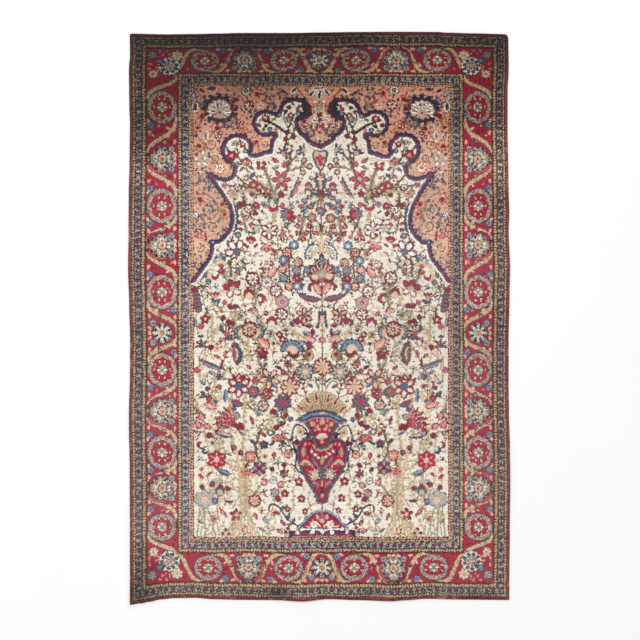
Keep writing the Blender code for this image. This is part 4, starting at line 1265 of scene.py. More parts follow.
@dataclass(frozen=True)
class Field:
    """The ivory field under the niche, with all that grows in it."""

    niche: Niche = Niche()
    vase: Vase = Vase()

    def draw(self, drawing: Drawing) -> None:
        """Paint the field from the ground up."""
        self.niche.draw(drawing)
        for stem in STEMS:
            leaf = {BROWN: KHAKI, KHAKI: SAGE, TAN: SAGE}.get(stem.yarn)
            Stem(stem.points, stem.yarn, stem.width + 0.7, leaf).draw(drawing)
        for figure in (*UPPER_FIELD, *MIDDLE_FIELD, *LOWER_FIELD):
            figure.draw(drawing)
        self.vase.draw(drawing)
        sprinkle(drawing, 8, CRIMSON, (SKY, LILAC, PINK, SLATE, TAN, GREY), 9000, 1.5, high=-95)
        for figure in MIDDLE_LINE:
            figure.draw(drawing)
        self.flame(drawing)
        drawing.outline(IVORY, 2)
        sprigs(drawing, 9, 1500)
        vines(drawing, 41, 250)
        sprinkle(drawing, 15, IVORY, (TAN, SAGE, TAN, PEACH), 1500, 3.4, high=-110)
        sprinkle(drawing, 5, IVORY, (TAN, SAGE, WINE, PEACH, ROSE, SLATE, WINE, KHAKI), 4200, 2.3)
        sprinkle(drawing, 6, IVORY, (PEACH, TAN, SAGE), 2200, 1.8)

    @staticmethod
    def flame(drawing: Drawing) -> None:
        """Paint the pointed shield with a flame in it, under the niche's point."""
        shield = smooth_line(((0, 164.6), (4, 166), (6.6, 163), (5.6, 157), (3.2, 150.6), (0, 145)))
        drawing.area(np.vstack((shield, ((-2, 145), (-2, 164.6)))), PEACH)
        drawing.stroke(shield, 1.4, TEAL)
        drawing.disc(0, 157.5, 4.6, PINK)
        drawing.petals(0, 157, 3, 0, 5.4, 1.6, CRIMSON, 180, 230)
        drawing.petals(0, 158, 1, 0, 8.5, 2.4, CRIMSON, 180, 0)
        drawing.disc(0, 160.6, 1.5, BROWN)


# --- The borders ---

class Side(Enum):
    """A side of the rug that a border runs along."""

    LONG = "long"
    FOOT = "foot"
    HEAD = "head"


@dataclass(frozen=True)
class Run:
    """One side of the main border and the places of its large flowers along it."""

    side: Side
    rosettes: Rows                   # place along the run, half of the length
    fans: tuple[float, ...]          # palmettes that open towards the field
    daisies: tuple[float, ...]       # palmettes that open away from it
    across: float = 15.0             # half of a rosette's width across the border

    def at(self, along: float, depth: float) -> Point:
        """Where a place along the run and a depth from the field lie on the paper."""
        if self.side is Side.LONG:
            return FIELD_SIDE + depth, along
        return along, (FIELD_HEAD + depth if self.side is Side.HEAD else FIELD_FOOT - depth)

    @property
    def outward(self) -> float:
        """The turn that faces away from the field."""
        return {Side.LONG: 90.0, Side.FOOT: 180.0, Side.HEAD: 0.0}[self.side]


@dataclass(frozen=True)
class Beads:
    """A narrow stripe of beads."""

    start: float
    end: float
    ground: Yarn
    bead: Yarn | None = None
    pitch: float = 2.8


@dataclass(frozen=True)
class Borders:
    """All borders round the field."""

    middle: float = 31.7
    inner: float = 16.7
    outer: float = 46.7
    guards: Rows = ((5.5, 11.4, 0.0), (52.7, 57.9, 0.5))
    guard_pitch: float = 6.6
    fleck: float = 1.15              # size of a guard's flecks
    flecks: tuple[int, int] = (400, 400)
    fleck_seed: int = 31
    leaf_reach: float = 56.0         # flowers nearer than this have a leaf between them
    past_first: float = 36.0         # how far leaves go past a run's first and last rosettes
    past_last: float = 32.0
    bud_tries: int = 5200
    bud_seed: int = 23
    stripes: tuple[Beads, ...] = (
        Beads(-0.6, 0.4, OXBLOOD), Beads(0.4, 2.7, WINE, TAN, 3.2), Beads(2.7, 5.0, BROWN, TAN),
        Beads(5.0, 5.5, UMBER), Beads(11.4, 12.2, UMBER), Beads(12.2, 15.4, BROWN, TAN),
        Beads(15.4, 16.5, OXBLOOD), Beads(16.5, 46.9, CRIMSON), Beads(46.9, 48.2, OXBLOOD),
        Beads(48.2, 51.6, BROWN, TAN), Beads(51.6, 52.7, BROWN), Beads(57.9, 58.6, UMBER),
        Beads(58.6, 61.0, BROWN, TAN), Beads(61.0, 61.8, OXBLOOD), Beads(61.8, 70.0, ROSE),
    )
    runs: tuple[Run, ...] = (
        Run(Side.LONG,
            ((209, 16.6), (110.4, 17.6), (24.3, 17.6), (-53.5, 17.2), (-136, 17.0), (-210.7, 13.8)),
            (157.4, 71, -95, -172), (-16.6,)),
        Run(Side.FOOT, ((113, 14.4), (33, 14.4)), (72.5,), (0,), 13.6),
        Run(Side.HEAD, ((116.4, 14.4), (36.2, 14.4)), (76,), (0,), 13.6),
    )
    # Leaf that crosses from a rosette to a fan: share of the way, depth from the field.
    crossing: Rows = (
        (0.10, 18.0), (0.32, 18.2), (0.46, 22), (0.58, 31), (0.70, 41), (0.84, 45.6), (1.0, 45.8),
    )

    def draw(self, drawing: Drawing) -> None:
        """Paint the stripes, the guards and the main border."""
        out, up = np.meshgrid(drawing.out, drawing.up)
        past_side, past_head, past_foot = out - FIELD_SIDE, up - FIELD_HEAD, FIELD_FOOT - up
        depth = np.maximum(past_side, np.maximum(past_head, past_foot))
        along = np.where(past_side >= np.maximum(past_head, past_foot), up, out)
        whole = View(slice(0, len(drawing.up)), slice(0, len(drawing.out)), out, up)
        for stripe in self.stripes:
            self.stripe(drawing, whole, depth, along, stripe)
        for run in self.runs:
            self.main(drawing, run)
        self.corner(drawing, Side.FOOT)
        self.corner(drawing, Side.HEAD)
        self.buds(drawing, whole, depth)
        drawing.outline(CRIMSON, 1)
        for start, end, shift in self.guards:
            self.guard(drawing, whole, depth, along / self.guard_pitch + shift, (start, end))

    @staticmethod
    def stripe(drawing: Drawing, whole: View, depth: np.ndarray, along: np.ndarray, stripe: Beads) -> None:
        """Paint one stripe with its beads."""
        inside = (depth >= stripe.start) & (depth < stripe.end)
        drawing.fill(whole, inside, stripe.ground)
        if stripe.bead is None:
            return
        ahead = abs((along / stripe.pitch + 0.5) % 1 - 0.5) * stripe.pitch
        aside = abs(depth - (stripe.start + stripe.end) / 2)
        box = (ahead < stripe.pitch * 0.33) & (aside < (stripe.end - stripe.start) / 2 - 0.45)
        drawing.fill(whole, inside & box, stripe.bead)

    def guard(self, drawing: Drawing, whole: View, depth: np.ndarray, phase: np.ndarray,
              band: Point) -> None:
        """Paint one guard: flowers in two dark silks and close small leaves on a slate ground.

        Args:
            drawing: the paper.
            whole: a view of all of it.
            depth: depth of each square from the field.
            phase: place along the run, in repeats.
            band: depths where the guard starts and ends.
        """
        start, end = band
        inside = (depth >= start) & (depth < end)
        drawing.fill(whole, inside, SLATE)
        random = np.random.default_rng(self.fleck_seed)
        silks = (SLATE, SLATE, SLATE, GREY, SAGE, PLUM, SLATE, TEAL,
                 *((LILAC, GREY, SKY) if start < 20 else (UMBER, TEAL, KHAKI, GREY)))
        flecks = random.choice(silks, self.flecks)
        row, column = ((squares / self.fleck).astype(int) % count
                       for squares, count in zip((whole.up, whole.out), self.flecks))
        drawing.yarn[inside] = flecks[row, column][inside]
        ahead = ((phase + 0.5) % 1 - 0.5) * self.guard_pitch
        aside = depth - (start + end) / 2
        distance, bearing = np.hypot(ahead, aside), np.arctan2(aside, ahead)
        flower = distance < 2.1 * (0.7 + 0.3 * abs(np.cos(2.5 * bearing)))
        odd = np.round(phase) % 3 == 1
        drawing.fill(whole, inside & flower, PLUM)
        drawing.fill(whole, inside & flower & odd, NAVY)
        drawing.fill(whole, inside & (distance < 0.6) & odd, GREY)
        drawing.fill(whole, inside & (distance < 0.6) & ~odd, MAGENTA)
        beside = np.hypot(abs(ahead) - self.guard_pitch / 2, abs(aside) - 1.3)
        drawing.fill(whole, inside & (beside < 0.7), GREY)

    def main(self, drawing: Drawing, run: Run) -> None:
        """Paint the leaves, flowers and buds of one run of the main border."""
        first, last = run.rosettes[0][0], run.rosettes[-1][0]
        past_ends = [(first, first + self.past_first, True)]
        if run.side is Side.LONG:
            past_ends.append((last, last - self.past_last, True))
        between = [(rosette, along, mirrored)
                   for mirrored, targets in ((False, run.fans), (True, run.daisies))
                   for along in targets for rosette, _ in run.rosettes
                   if abs(rosette - along) < self.leaf_reach]
        for way in (*past_ends, *between):
            self.crossing_leaf(drawing, run, *way)
        for along, reach in run.rosettes:
            self.rosette(drawing, run, along, reach)
        for along in run.fans:
            self.palmette(drawing, run, along)
        for along in run.daisies:
            self.daisy(drawing, run, along)
        for way in between:
            self.small_flowers(drawing, run, *way)

    def deep(self, depth: float, mirrored: bool) -> float:
        """A depth in the main border, or the one that mirrors it about the border's middle."""
        return self.inner + self.outer - depth if mirrored else depth

    def crossing_leaf(self, drawing: Drawing, run: Run, rosette: float, target: float,
                      mirrored: bool) -> None:
        """Paint the long tan leaf that crosses the border between two large flowers."""
        points = [run.at(rosette + (target - rosette) * share, self.deep(depth, mirrored))
                  for share, depth in self.crossing]
        trace = drawing.follow(smooth_line(points), 5)
        middle = 1 - abs(2 * trace.along - 1)
        limit = 0.5 + 1.45 * smooth((middle - 0.04) / 0.40)
        distance = abs(trace.off)
        way = trace.along * trace.length
        notches = 0.4 * abs(np.sin(way * 1.1))
        drawing.fill(trace.view, distance < limit + 0.7, BROWN)
        drawing.fill(trace.view, distance < limit - notches + 0.2, TAN)
        drawing.fill(trace.view, (distance < limit - 0.6) & (way % 5.2 < 3.0), PEACH)
        drawing.fill(trace.view, (abs(trace.off + 0.5) < 0.5) & (limit > 1.6) & (way % 5.2 < 1.6), KHAKI)

    def small_flowers(self, drawing: Drawing, run: Run, rosette: float, target: float,
                      mirrored: bool) -> None:
        """Paint the small flowers and buds beside a crossing leaf."""
        toward = 1 if target > rosette else -1
        for along, depth, size, edge, petal in (
                (target - toward * 10.0, 22.3, 3.8, SLATE, GREY),
                (rosette + toward * 17.5, 43.4, 3.8, SLATE, SKY),
                (target - toward * 17.0, 29.0, 2.4, BROWN, TAN)):
            out, up = run.at(along, self.deep(depth, mirrored))
            Bloom(out, up, size, along, edge, petal, BLUE, 6, fat=1.3, point=0.5).draw(drawing)
        for along, depth, turn in (
                (target - toward * 5, 19.0, 50), (target, 18.8, 90), (target - toward * 17, 19.0, 90),
                (target - toward * 23, 26.0, 30), (rosette + toward * 25, 44.6, 80),
                (rosette + toward * 13.5, 45.4, 60), (rosette + toward * 21, 25.5, 40)):
            out, up = run.at(along, self.deep(depth, mirrored))
            Leaf(out, up, 4.6, run.outward + turn * toward, PEACH, None, 2.3).draw(drawing)

    def rosette(self, drawing: Drawing, run: Run, along: float, reach: float) -> None:
        """Paint a large rosette: a wavy ring in pale blues round a crimson disc with a flower in it."""
        out, up = run.at(along, self.middle)
        facing = {"turn": run.outward, "squeeze": run.across / reach}
        for size, yarn in ((0.8, OXBLOOD), (0.1, SLATE), (-0.5, GREY), (-2.6, KHAKI), (-3.1, PEACH)):
            drawing.disc(out, up, reach + size, yarn, 8, 0.09, **facing)
        for count, ring, radius, yarn, turn in ((8, 1.5, 1.7, SLATE, 22), (8, 1.4, 1.2, SKY, 22),
                                                (8, 1.6, 1.2, LILAC, 0), (30, 3.8, 0.55, ROSE, 0)):
            drawing.dots(out, up, count, reach - ring, radius, yarn, run.outward + turn,
                         squeeze=facing["squeeze"])
        for size, yarn in ((-4.2, OXBLOOD), (-4.7, CRIMSON)):
            drawing.disc(out, up, reach + size, yarn, 8, 0.09, **facing)
        for ahead, aside in ((8.2, 2.8), (8.2, -2.8), (-8.2, 2.8), (-8.2, -2.8), (0, 8.0), (0, -8.0)):
            Leaf(*run.at(along + ahead, self.middle + aside), 3.6, run.outward + 90,
                 PEACH if ahead else TAN, None, 1.8, edge=OXBLOOD).draw(drawing)
        drawing.disc(out, up, 5.2, OXBLOOD, 8, 0.16)
        drawing.petals(out, up, 8, 0.8, 5.2, 1.4, GREY, run.outward, point=0.6)
        drawing.petals(out, up, 4, 1.0, 4.6, 0.7, SAGE, run.outward + 45, point=0.6)
        drawing.petals(out, up, 4, 1.2, 4.8, 0.8, WHITE, run.outward, point=0.6)
        drawing.dots(out, up, 8, 2.2, 0.5, SLATE, run.outward + 22)
        drawing.disc(out, up, 1.3, KHAKI)

    def daisy(self, drawing: Drawing, run: Run, along: float) -> None:
        """Paint a daisy: pale petals with dark leaves between them round a tan heart."""
        out, up = run.at(along, self.middle)
        drawing.disc(out, up, 10.8, OXBLOOD, 8, 0.10, run.outward)
        drawing.petals(out, up, 8, 2.0, 10.4, 2.6, GREY, run.outward, point=0.55)
        drawing.petals(out, up, 8, 3.0, 9.6, 1.6, IVORY, run.outward, point=0.55)
        drawing.petals(out, up, 8, 3.6, 9.6, 1.3, NAVY, run.outward + 22)
        drawing.disc(out, up, 4.4, WHITE, 8, 0.12)
        drawing.disc(out, up, 3.4, TAN)
        drawing.disc(out, up, 1.9, ORANGE)
        drawing.disc(out, up, 0.9, PEACH)

    def palmette(self, drawing: Drawing, run: Run, along: float) -> None:
        """Paint a palmette on a crossed base, with a magenta leaf on each side."""
        facing = run.outward + 180

        def place(ahead: float, depth: float) -> Point:
            """A place beside the palmette."""
            return run.at(along + ahead, depth)

        for hand in (1, -1):
            leaf, base = (
                smooth_line([place(hand * ahead, depth) for ahead, depth in points])
                for points in (((4, 45.4), (10, 42), (13, 34), (13, 29)), ((-3, 38.5), (1, 42), (5.5, 46))))
            drawing.stroke(leaf, 3.4, OXBLOOD)
            drawing.stroke(leaf, 2.4, MAGENTA if hand > 0 else ROSE)
            drawing.stroke(base, 1.6, UMBER)
        out, up = place(0, 31.4)
        drawing.disc(out, up, 12.2, OXBLOOD, 12, 0.18, facing)
        drawing.disc(out, up, 9.6, SLATE)
        drawing.petals(out, up, 12, 2.0, 12.0, 2.2, GREY, facing + 15, 360, 0.55)
        drawing.petals(out, up, 12, 3.0, 10.8, 1.1, IVORY, facing + 15, 360, 0.55)
        drawing.petals(out, up, 6, 4.0, 10.8, 1.0, SAGE, facing + 30, 360, 0.6)
        drawing.petals(out, up, 6, 3.0, 9.0, 0.8, TAN, facing, 360, 0.6)
        for ahead, depth, turn, size, yarn in ((6.6, 38.0, 130, 4.6, SLATE), (8.2, 28.6, 60, 4.2, NAVY),
                                               (0.0, 21.6, 0, 4.6, BLUE), (4.4, 25.6, 30, 3.2, SLATE)):
            for hand in (1, -1):
                Leaf(*place(hand * ahead, depth), size, facing + hand * turn, yarn, None, 2.5).draw(drawing)
        drawing.disc(out, up, 5.0, SLATE, 8, 0.14)
        drawing.disc(out, up, 4.2, PEACH, 8, 0.14)
        drawing.petals(out, up, 8, 1.0, 5.0, 0.8, IVORY, facing)
        drawing.disc(out, up, 2.0, PINK)
        drawing.disc(out, up, 1.0, WINE)
        Leaf(*place(0, 42.6), 5.0, facing + 90, KHAKI, SAGE, 4.0).draw(drawing)

    def corner(self, drawing: Drawing, side: Side) -> None:
        """Paint the palmette and the flowers that fill a corner of the main border."""
        end, sign, turn = (FIELD_HEAD, 1, 45) if side is Side.HEAD else (FIELD_FOOT, -1, 135)

        def at(depth_side: float, depth_end: float) -> Point:
            """A place from its depths past the field's side and end."""
            return FIELD_SIDE + depth_side, end + sign * depth_end

        out, up = at(24.5, 25)
        drawing.disc(out, up, 11.6, OXBLOOD, 14, 0.08)
        drawing.disc(out, up, 10.8, IVORY, 14, 0.10)
        drawing.dots(out, up, 9, 7.6, 1.5, TEAL, turn)
        drawing.disc(out, up, 6.2, GREY, 12, 0.1)
        drawing.petals(out, up, 6, 1.0, 6.0, 1.3, IVORY, turn)
        drawing.dots(out, up, 6, 4.4, 0.8, ROSE, turn + 30)
        drawing.disc(out, up, 1.8, SALMON)
        for depths, size, yarns in (
                ((41.6, 38.9), 5.4, (SLATE, GREY, LILAC)), ((40.3, 15.4), 5.0, (TAN, IVORY, SAGE)),
                ((16.7, 38.2), 6.2, (TAN, IVORY, TAN)), ((34.5, 31.5), 3.6, (BLUE, SKY, LILAC))):
            Bloom(*at(*depths), size, turn, *yarns, 7, fat=1.0, point=0.6).draw(drawing)
        for depths in ((44, 28), (31, 40), (27, 44), (36, 20), (37, 24), (34, 44), (44.5, 22), (24, 40)):
            Leaf(*at(*depths), 4.4, turn + depths[0] * 9, PINK, None, 2.3).draw(drawing)

    def buds(self, drawing: Drawing, whole: View, depth: np.ndarray) -> None:
        """Strew short tendrils and buds over the bare crimson of the main border."""
        random = np.random.default_rng(self.bud_seed)
        inside = np.argwhere((depth > self.inner + 1.6) & (depth < self.outer - 1.6))
        for row, column in inside[random.integers(len(inside), size=self.bud_tries)]:
            out, up = float(whole.out[row, column]), float(whole.up[row, column])
            if not drawing.bare(out, up, 1.7, CRIMSON):
                continue
            yarn = (WINE, OXBLOOD, WINE, TAN, MAGENTA, BROWN, OXBLOOD)[random.integers(7)]
            size, turn = random.uniform(2.2, 4.0), random.uniform(-180, 180)
            Leaf(out, up, size, turn, yarn, None, 1.3, 0.6).draw(drawing)


# --- From the paper to the rug ---

@dataclass(frozen=True)
class Loom:
    """How the squares of the paper fall on the woven rug, which is not quite even."""

    # Wander of the middle line: place along the rug, how far it stands across.
    middle: Rows = ((-1.0, 0.0100), (-0.66, 0.0104), (-0.24, 0.0115), (0.0, 0.0115), (0.24, 0.0083),
                    (0.49, 0.0048), (0.70, 0.0016), (1.0, 0.0))
    left_side: float = 125.35
    right_side: float = 129.25
    right_beat: float = 0.94
    ends: tuple[float, float] = (-283.5, 283.1)
    lift: float = 0.15
    sway: float = 0.45
    slip: float = 0.34        # how far a knot may miss its square
    seed: int = 17

    def place(self, across: np.ndarray, along: np.ndarray) -> tuple[np.ndarray, np.ndarray]:
        """Where knots lie on the paper.

        Args:
            across: places of the knots across the rug, in metres.
            along: their places along it.

        Returns:
            Squares out and up.
        """
        rows, stands = np.array(self.middle).T
        middle = np.interp(along, rows, stands) / SQUARE
        x = across / SQUARE
        left = (middle - x) / (middle + self.left_side) * FIELD_SIDE
        right = (x - middle) / (self.right_side - middle) * FIELD_SIDE
        left = np.where(-x > self.left_side, FIELD_SIDE + (-x - self.left_side), left)
        right = np.where(x > self.right_side, FIELD_SIDE + (x - self.right_side) / self.right_beat, right)
        out = np.where(x < middle, left, right)
        row = along / SQUARE - self.lift
        up = np.interp(row, (self.ends[0], FIELD_FOOT, FIELD_HEAD, self.ends[1]),
                       (FIELD_FOOT - BORDER, FIELD_FOOT, FIELD_HEAD, FIELD_HEAD + BORDER))
        lean = np.where(x < middle, 0.0, 2.0)
        inside = smooth((FIELD_SIDE - abs(out)) / 20)
        out = out + self.sway * inside * np.sin(up / 13 + lean) * smooth(abs(out) / 12)
        up = up + self.sway * inside * np.sin(out / 11 + up / 29 + lean * 1.7)
        return abs(out), up

    def knots(self, drawing: Drawing, across: np.ndarray, along: np.ndarray) -> np.ndarray:
        """The silk of each knot, read from the drawing."""
        out, up = self.place(across, along)
        random = np.random.default_rng(self.seed + len(across))
        out = abs(out + random.normal(0, self.slip, np.shape(out)))
        up = up + random.normal(0, self.slip, np.shape(up))
        column = np.clip((out * PARTS).astype(int), 0, len(drawing.out) - 1)
        row = np.clip(((up - FIELD_FOOT + BORDER) * PARTS).astype(int), 0, len(drawing.up) - 1)
        return drawing.yarn[row, column]


@dataclass(frozen=True)
class PaintedShadeAndWear:
    """Painted shade and painted light from the lie of the pile and its ripples, with stains, row streaks and
    knot-to-knot tone, as soft patches over the rug.
    """

    # Middle across and along, reach each way, share of light given or taken. Most are painted shade and
    # light: the darker head, bands across from the pile's lie and ripples, darker sides; the small deep ones
    # near the foot are stains.
    patches: Rows = (
        (-0.25, 1.00, 0.75, 0.100, -0.60), (-0.40, 0.83, 0.55, 0.160, -0.36),
        (-0.62, 0.67, 0.26, 0.220, -0.56), (0.38, 0.92, 0.30, 0.140, 0.62), (0.30, 0.80, 0.46, 0.140, 0.26),
        (0.60, 0.71, 0.20, 0.110, -0.36), (0.66, 0.00, 0.26, 1.600, -0.18),
        (0.66, 0.42, 0.18, 0.110, -0.26), (0.60, -0.12, 0.20, 0.200, -0.14),
        (-0.66, 0.42, 0.12, 0.120, -0.18), (-0.66, -0.05, 0.10, 0.180, -0.14),
        (0.00, 0.43, 1.40, 0.090, -0.10), (0.00, 0.25, 1.40, 0.090, 0.06),
        (0.00, -0.04, 1.40, 0.060, -0.12), (0.00, -0.47, 1.40, 0.024, -0.12),
        (0.00, 0.552, 1.40, 0.014, -0.12), (0.00, 0.124, 1.40, 0.012, -0.10),
        (0.00, 0.525, 1.40, 0.060, 0.08), (0.00, -0.66, 0.50, 0.300, 0.06),
        (0.00, -0.94, 1.60, 0.120, -0.16), (0.35, -0.05, 0.22, 0.420, -0.12),
        (-0.64, -0.97, 0.12, 0.130, -0.55), (-0.63, -0.83, 0.06, 0.080, -0.25),
        (-0.51, -0.735, 0.05, 0.030, -0.45), (-0.145, -0.975, 0.09, 0.045, -0.55),
        (-0.26, -0.985, 0.07, 0.030, -0.35), (0.56, -0.990, 0.12, 0.030, -0.45),
        (-0.58, -0.885, 0.05, 0.030, -0.30), (0.10, -0.990, 0.20, 0.024, -0.20),
        (0.01, -0.52, 0.12, 0.26, -0.18), (0.480, 0.10, 0.03, 1.20, -0.22), (-0.465, 0.0, 0.05, 1.60, 0.10),
        (-0.645, 0.0, 0.07, 1.60, -0.16), (0.64, -0.35, 0.06, 0.90, -0.04), (0.00, 0.66, 0.70, 0.22, -0.14),
        (-0.56, 0.0, 0.14, 1.60, -0.08), (0.64, 0.62, 0.05, 0.42, 0.30), (-0.64, 0.62, 0.05, 0.36, 0.20),
        (-0.64, 0.81, 0.05, 0.06, 0.35), (-0.22, 0.60, 0.24, 0.10, 0.14), (-0.24, 0.95, 0.12, 0.05, -0.40),
        (0.25, 0.95, 0.12, 0.05, 0.35), (-0.37, 0.81, 0.08, 0.05, 0.45), (0.00, 0.38, 0.46, 0.30, -0.06),
        (0.50, 0.71, 0.10, 0.05, -0.20), (-0.56, 0.71, 0.07, 0.05, -0.22),
    )
    # Painted shade: the head of the rug darkens between head_from and head_full, and its dye is taken
    # deeper.
    head_from: float = 0.60
    head_full: float = 0.98
    head_shade: float = 0.70
    head_deep: float = 0.34
    deep_least: float = 1.06
    deep_from: float = 0.45
    deep_over: float = 0.35
    # Share of painted sheen over the dye below the head.
    lustre: float = 0.035
    streak: float = 0.045
    speckle: float = 0.12
    rows: int = 787
    seed: int = 3

    def shade(self, across: np.ndarray, along: np.ndarray) -> np.ndarray:
        """Share of its colour that the pile keeps, place by place: painted shade and light, stains, row
        streaks and knot-to-knot tone.
        """
        # Painted shade: darker towards the head.
        light = 1 - self.head_shade * smooth((along - self.head_from) / (self.head_full - self.head_from))
        for mid_across, mid_along, half_across, half_along, amount in self.patches:
            light *= 1 + (amount * smooth(1.0 - abs(across - mid_across) / half_across)
                          * smooth(1.0 - abs(along - mid_along) / half_along))
        rows = np.random.default_rng(self.seed).normal(0, self.streak, self.rows)
        knots = np.random.default_rng(self.seed + len(across)).normal(0, self.speckle, np.shape(across))
        streaks = 1 + np.interp(along, np.linspace(-1, 1, self.rows), rows)
        return light * streaks * (1 + np.clip(knots, -0.45, 0.45))

    def deep(self, along: np.ndarray) -> np.ndarray:
        """Power that the dye is taken to: painted shade that makes the head of the rug darker and deeper."""
        return self.deep_least + self.head_deep * smooth((along - self.deep_from) / self.deep_over)

    def sheen_haze(self, across: np.ndarray, along: np.ndarray) -> np.ndarray:
        """Share of painted sheen, a pale silk lustre, over the dye; the head of the rug has the least."""
        head = smooth((along - 0.5) / 0.3)
        drift = 0.02 * np.sin(across * 5.0 + along * 3.0) + 0.015 * np.sin(along * 17.0 - across * 2.0)
        return np.clip((self.lustre + drift) * (1 - head), 0, 1)


# --- Finishes ---

def linear(value: float) -> float:
    """One channel of 255 as a linear share of light."""
    share = value / 255
    return share / 12.92 if share <= 0.04045 else ((share + 0.055) / 1.055) ** 2.4


def dye(colour: Sequence[float]) -> tuple[float, float, float, float]:
    """A colour of 255 as linear red, green, blue and full cover."""
    red, green, blue = (linear(value) for value in colour)
    return red, green, blue, 1.0


class Graph:
    """A material's nodes, added one after another."""

    def __init__(self, name: str) -> None:
        """Start a material with only a principled shader."""
        self.material = bpy.data.materials.new(name)
        self.material.use_nodes = True
        self.nodes = self.material.node_tree.nodes
        self.links = self.material.node_tree.links
        self.shader = self.nodes["Principled BSDF"]

    def node(self, kind: str, settings: dict[str, object] | None = None,
             inputs: dict[object, object] | None = None) -> bpy.types.Node:
        """Add a node.

        Args:
            kind: its type without "ShaderNode".
            settings: its options by name.
            inputs: its sockets by name or number, each a value or another node's output.

        Returns:
            The node.
        """
        node = self.nodes.new("ShaderNode" + kind)
        for name, value in (settings or {}).items():
            setattr(node, name, value)
        for name, value in (inputs or {}).items():
            self.feed(node.inputs[name], value)
        return node

    def feed(self, socket: bpy.types.NodeSocket, value: object) -> None:
        """Give a socket a value or another node's output."""
        if isinstance(value, bpy.types.NodeSocket):
            self.links.new(value, socket)
        else:
            socket.default_value = value

    def attribute(self, name: str) -> bpy.types.NodeSocket:
        """The number that the mesh carries under a name."""
        return self.node("Attribute", {"attribute_name": name}).outputs["Fac"]

    def maths(self, operation: str, first: object, second: object = 0.0) -> bpy.types.NodeSocket:
        """Reckon with two numbers."""
        return self.node("Math", {"operation": operation}, {0: first, 1: second}).outputs[0]

    def noise(self, scale: float, detail: float = 2.0,
              stretch: Sequence[float] = (1, 1, 1)) -> bpy.types.NodeSocket:
        """Cloudy noise in the piece's own place, stretched along its axes.

        Args:
            scale: how fine it is, per metre.
            detail: how many finer layers it has.
            stretch: scale along each axis.

        Returns:
            The noise from 0 to 1.
        """
        place = self.node("TexCoord").outputs["Object"]
        moved = self.node("Mapping", None, {"Vector": place, "Scale": stretch}).outputs[0]
        inputs = {"Vector": moved, "Scale": scale, "Detail": detail}
        return self.node("TexNoise", None, inputs).outputs["Fac"]

    def span(self, value: object, low: float, high: float) -> bpy.types.NodeSocket:
        """Stretch 0 to 1 over a range."""
        return self.node("MapRange", None, {"Value": value, "To Min": low, "To Max": high}).outputs[0]

    def mix(self, share: object, first: object, second: object) -> bpy.types.NodeSocket:
        """Mix two colours."""
        return self.node("Mix", {"data_type": "RGBA"}, {0: share, 6: first, 7: second}).outputs[2]

    def silks(self) -> bpy.types.NodeSocket:
        """The dye of each knot's own silk."""
        share = self.maths("DIVIDE", self.maths("ADD", self.attribute("yarn"), 0.5), len(Yarn))
        ramp = self.node("ValToRGB", None, {0: share})
        ramp.color_ramp.interpolation = "CONSTANT"
        stops = ramp.color_ramp.elements
        while len(stops) < len(Yarn):
            stops.new(0.5)
        for stop, silk in zip(stops, Yarn):
            stop.position = silk / len(Yarn)
        for stop, silk in zip(stops, Yarn):
            stop.color = dye(DYES[silk])
        return ramp.outputs[0]

    def lit(self, colour: bpy.types.NodeSocket, light: bpy.types.NodeSocket) -> bpy.types.NodeSocket:
        """Scale a colour by a light and by each face's own shade."""
        share = self.maths("MULTIPLY", light, self.attribute("shade"))
        return self.node("VectorMath", {"operation": "SCALE"}, {0: colour, "Scale": share}).outputs[0]

    def finish(self, colour: bpy.types.NodeSocket, height: bpy.types.NodeSocket, depth: float,
               numbers: dict[str, object]) -> bpy.types.Material:
        """Join colour, bump and plain numbers to the shader.

        Args:
            colour: the base colour.
            height: what stands up, from 0 to 1.
            depth: how far 1 stands up, in metres.
            numbers: values or outputs for the shader's other sockets.

        Returns:
            The material.
        """
        bump = self.node("Bump", None, {"Height": height, "Distance": depth, "Strength": 1.0})
        for name, value in {"Base Color": colour, "Normal": bump.outputs[0], **numbers}.items():
            self.feed(self.shader.inputs[name], value)
        return self.material


@dataclass(frozen=True)
class SilkPile:
    """Short silk pile: dyed knots under painted shade and a painted sheen of pale lustre, and fibres that
    lie towards the foot.
    """

    name: str = "silk_pile"
    # Colour of the painted sheen.
    lustre: tuple[int, int, int] = (226, 206, 196)
    roughness: tuple[float, float] = (0.52, 0.68)
    sheen: float = 0.10
    depth: float = 0.0005

    def material(self) -> bpy.types.Material:
        """Build the material."""
        graph = Graph(self.name)
        # Painted shade: the dye is taken deeper towards the head.
        deep = graph.node("Gamma", None, {0: graph.silks(), 1: graph.attribute("deep")}).outputs[0]
        # Painted sheen: pale lustre mixed over the dye.
        sheen_mixed = graph.mix(graph.attribute("sheen_haze"), deep, dye(self.lustre))
        fibres = graph.noise(620, 3, (1.0, 0.35, 1.0))
        strands = graph.span(fibres, 0.80, 1.20)
        clouds = graph.span(graph.noise(9, 3, (0.35, 1.6, 1.0)), 0.90, 1.10)
        lit = graph.lit(sheen_mixed, graph.maths("MULTIPLY", strands, clouds))
        return graph.finish(lit, fibres, self.depth, {
            "Roughness": graph.span(graph.noise(60), *self.roughness), "Sheen Weight": self.sheen,
            "Sheen Roughness": 0.45, "Specular IOR Level": 0.18})


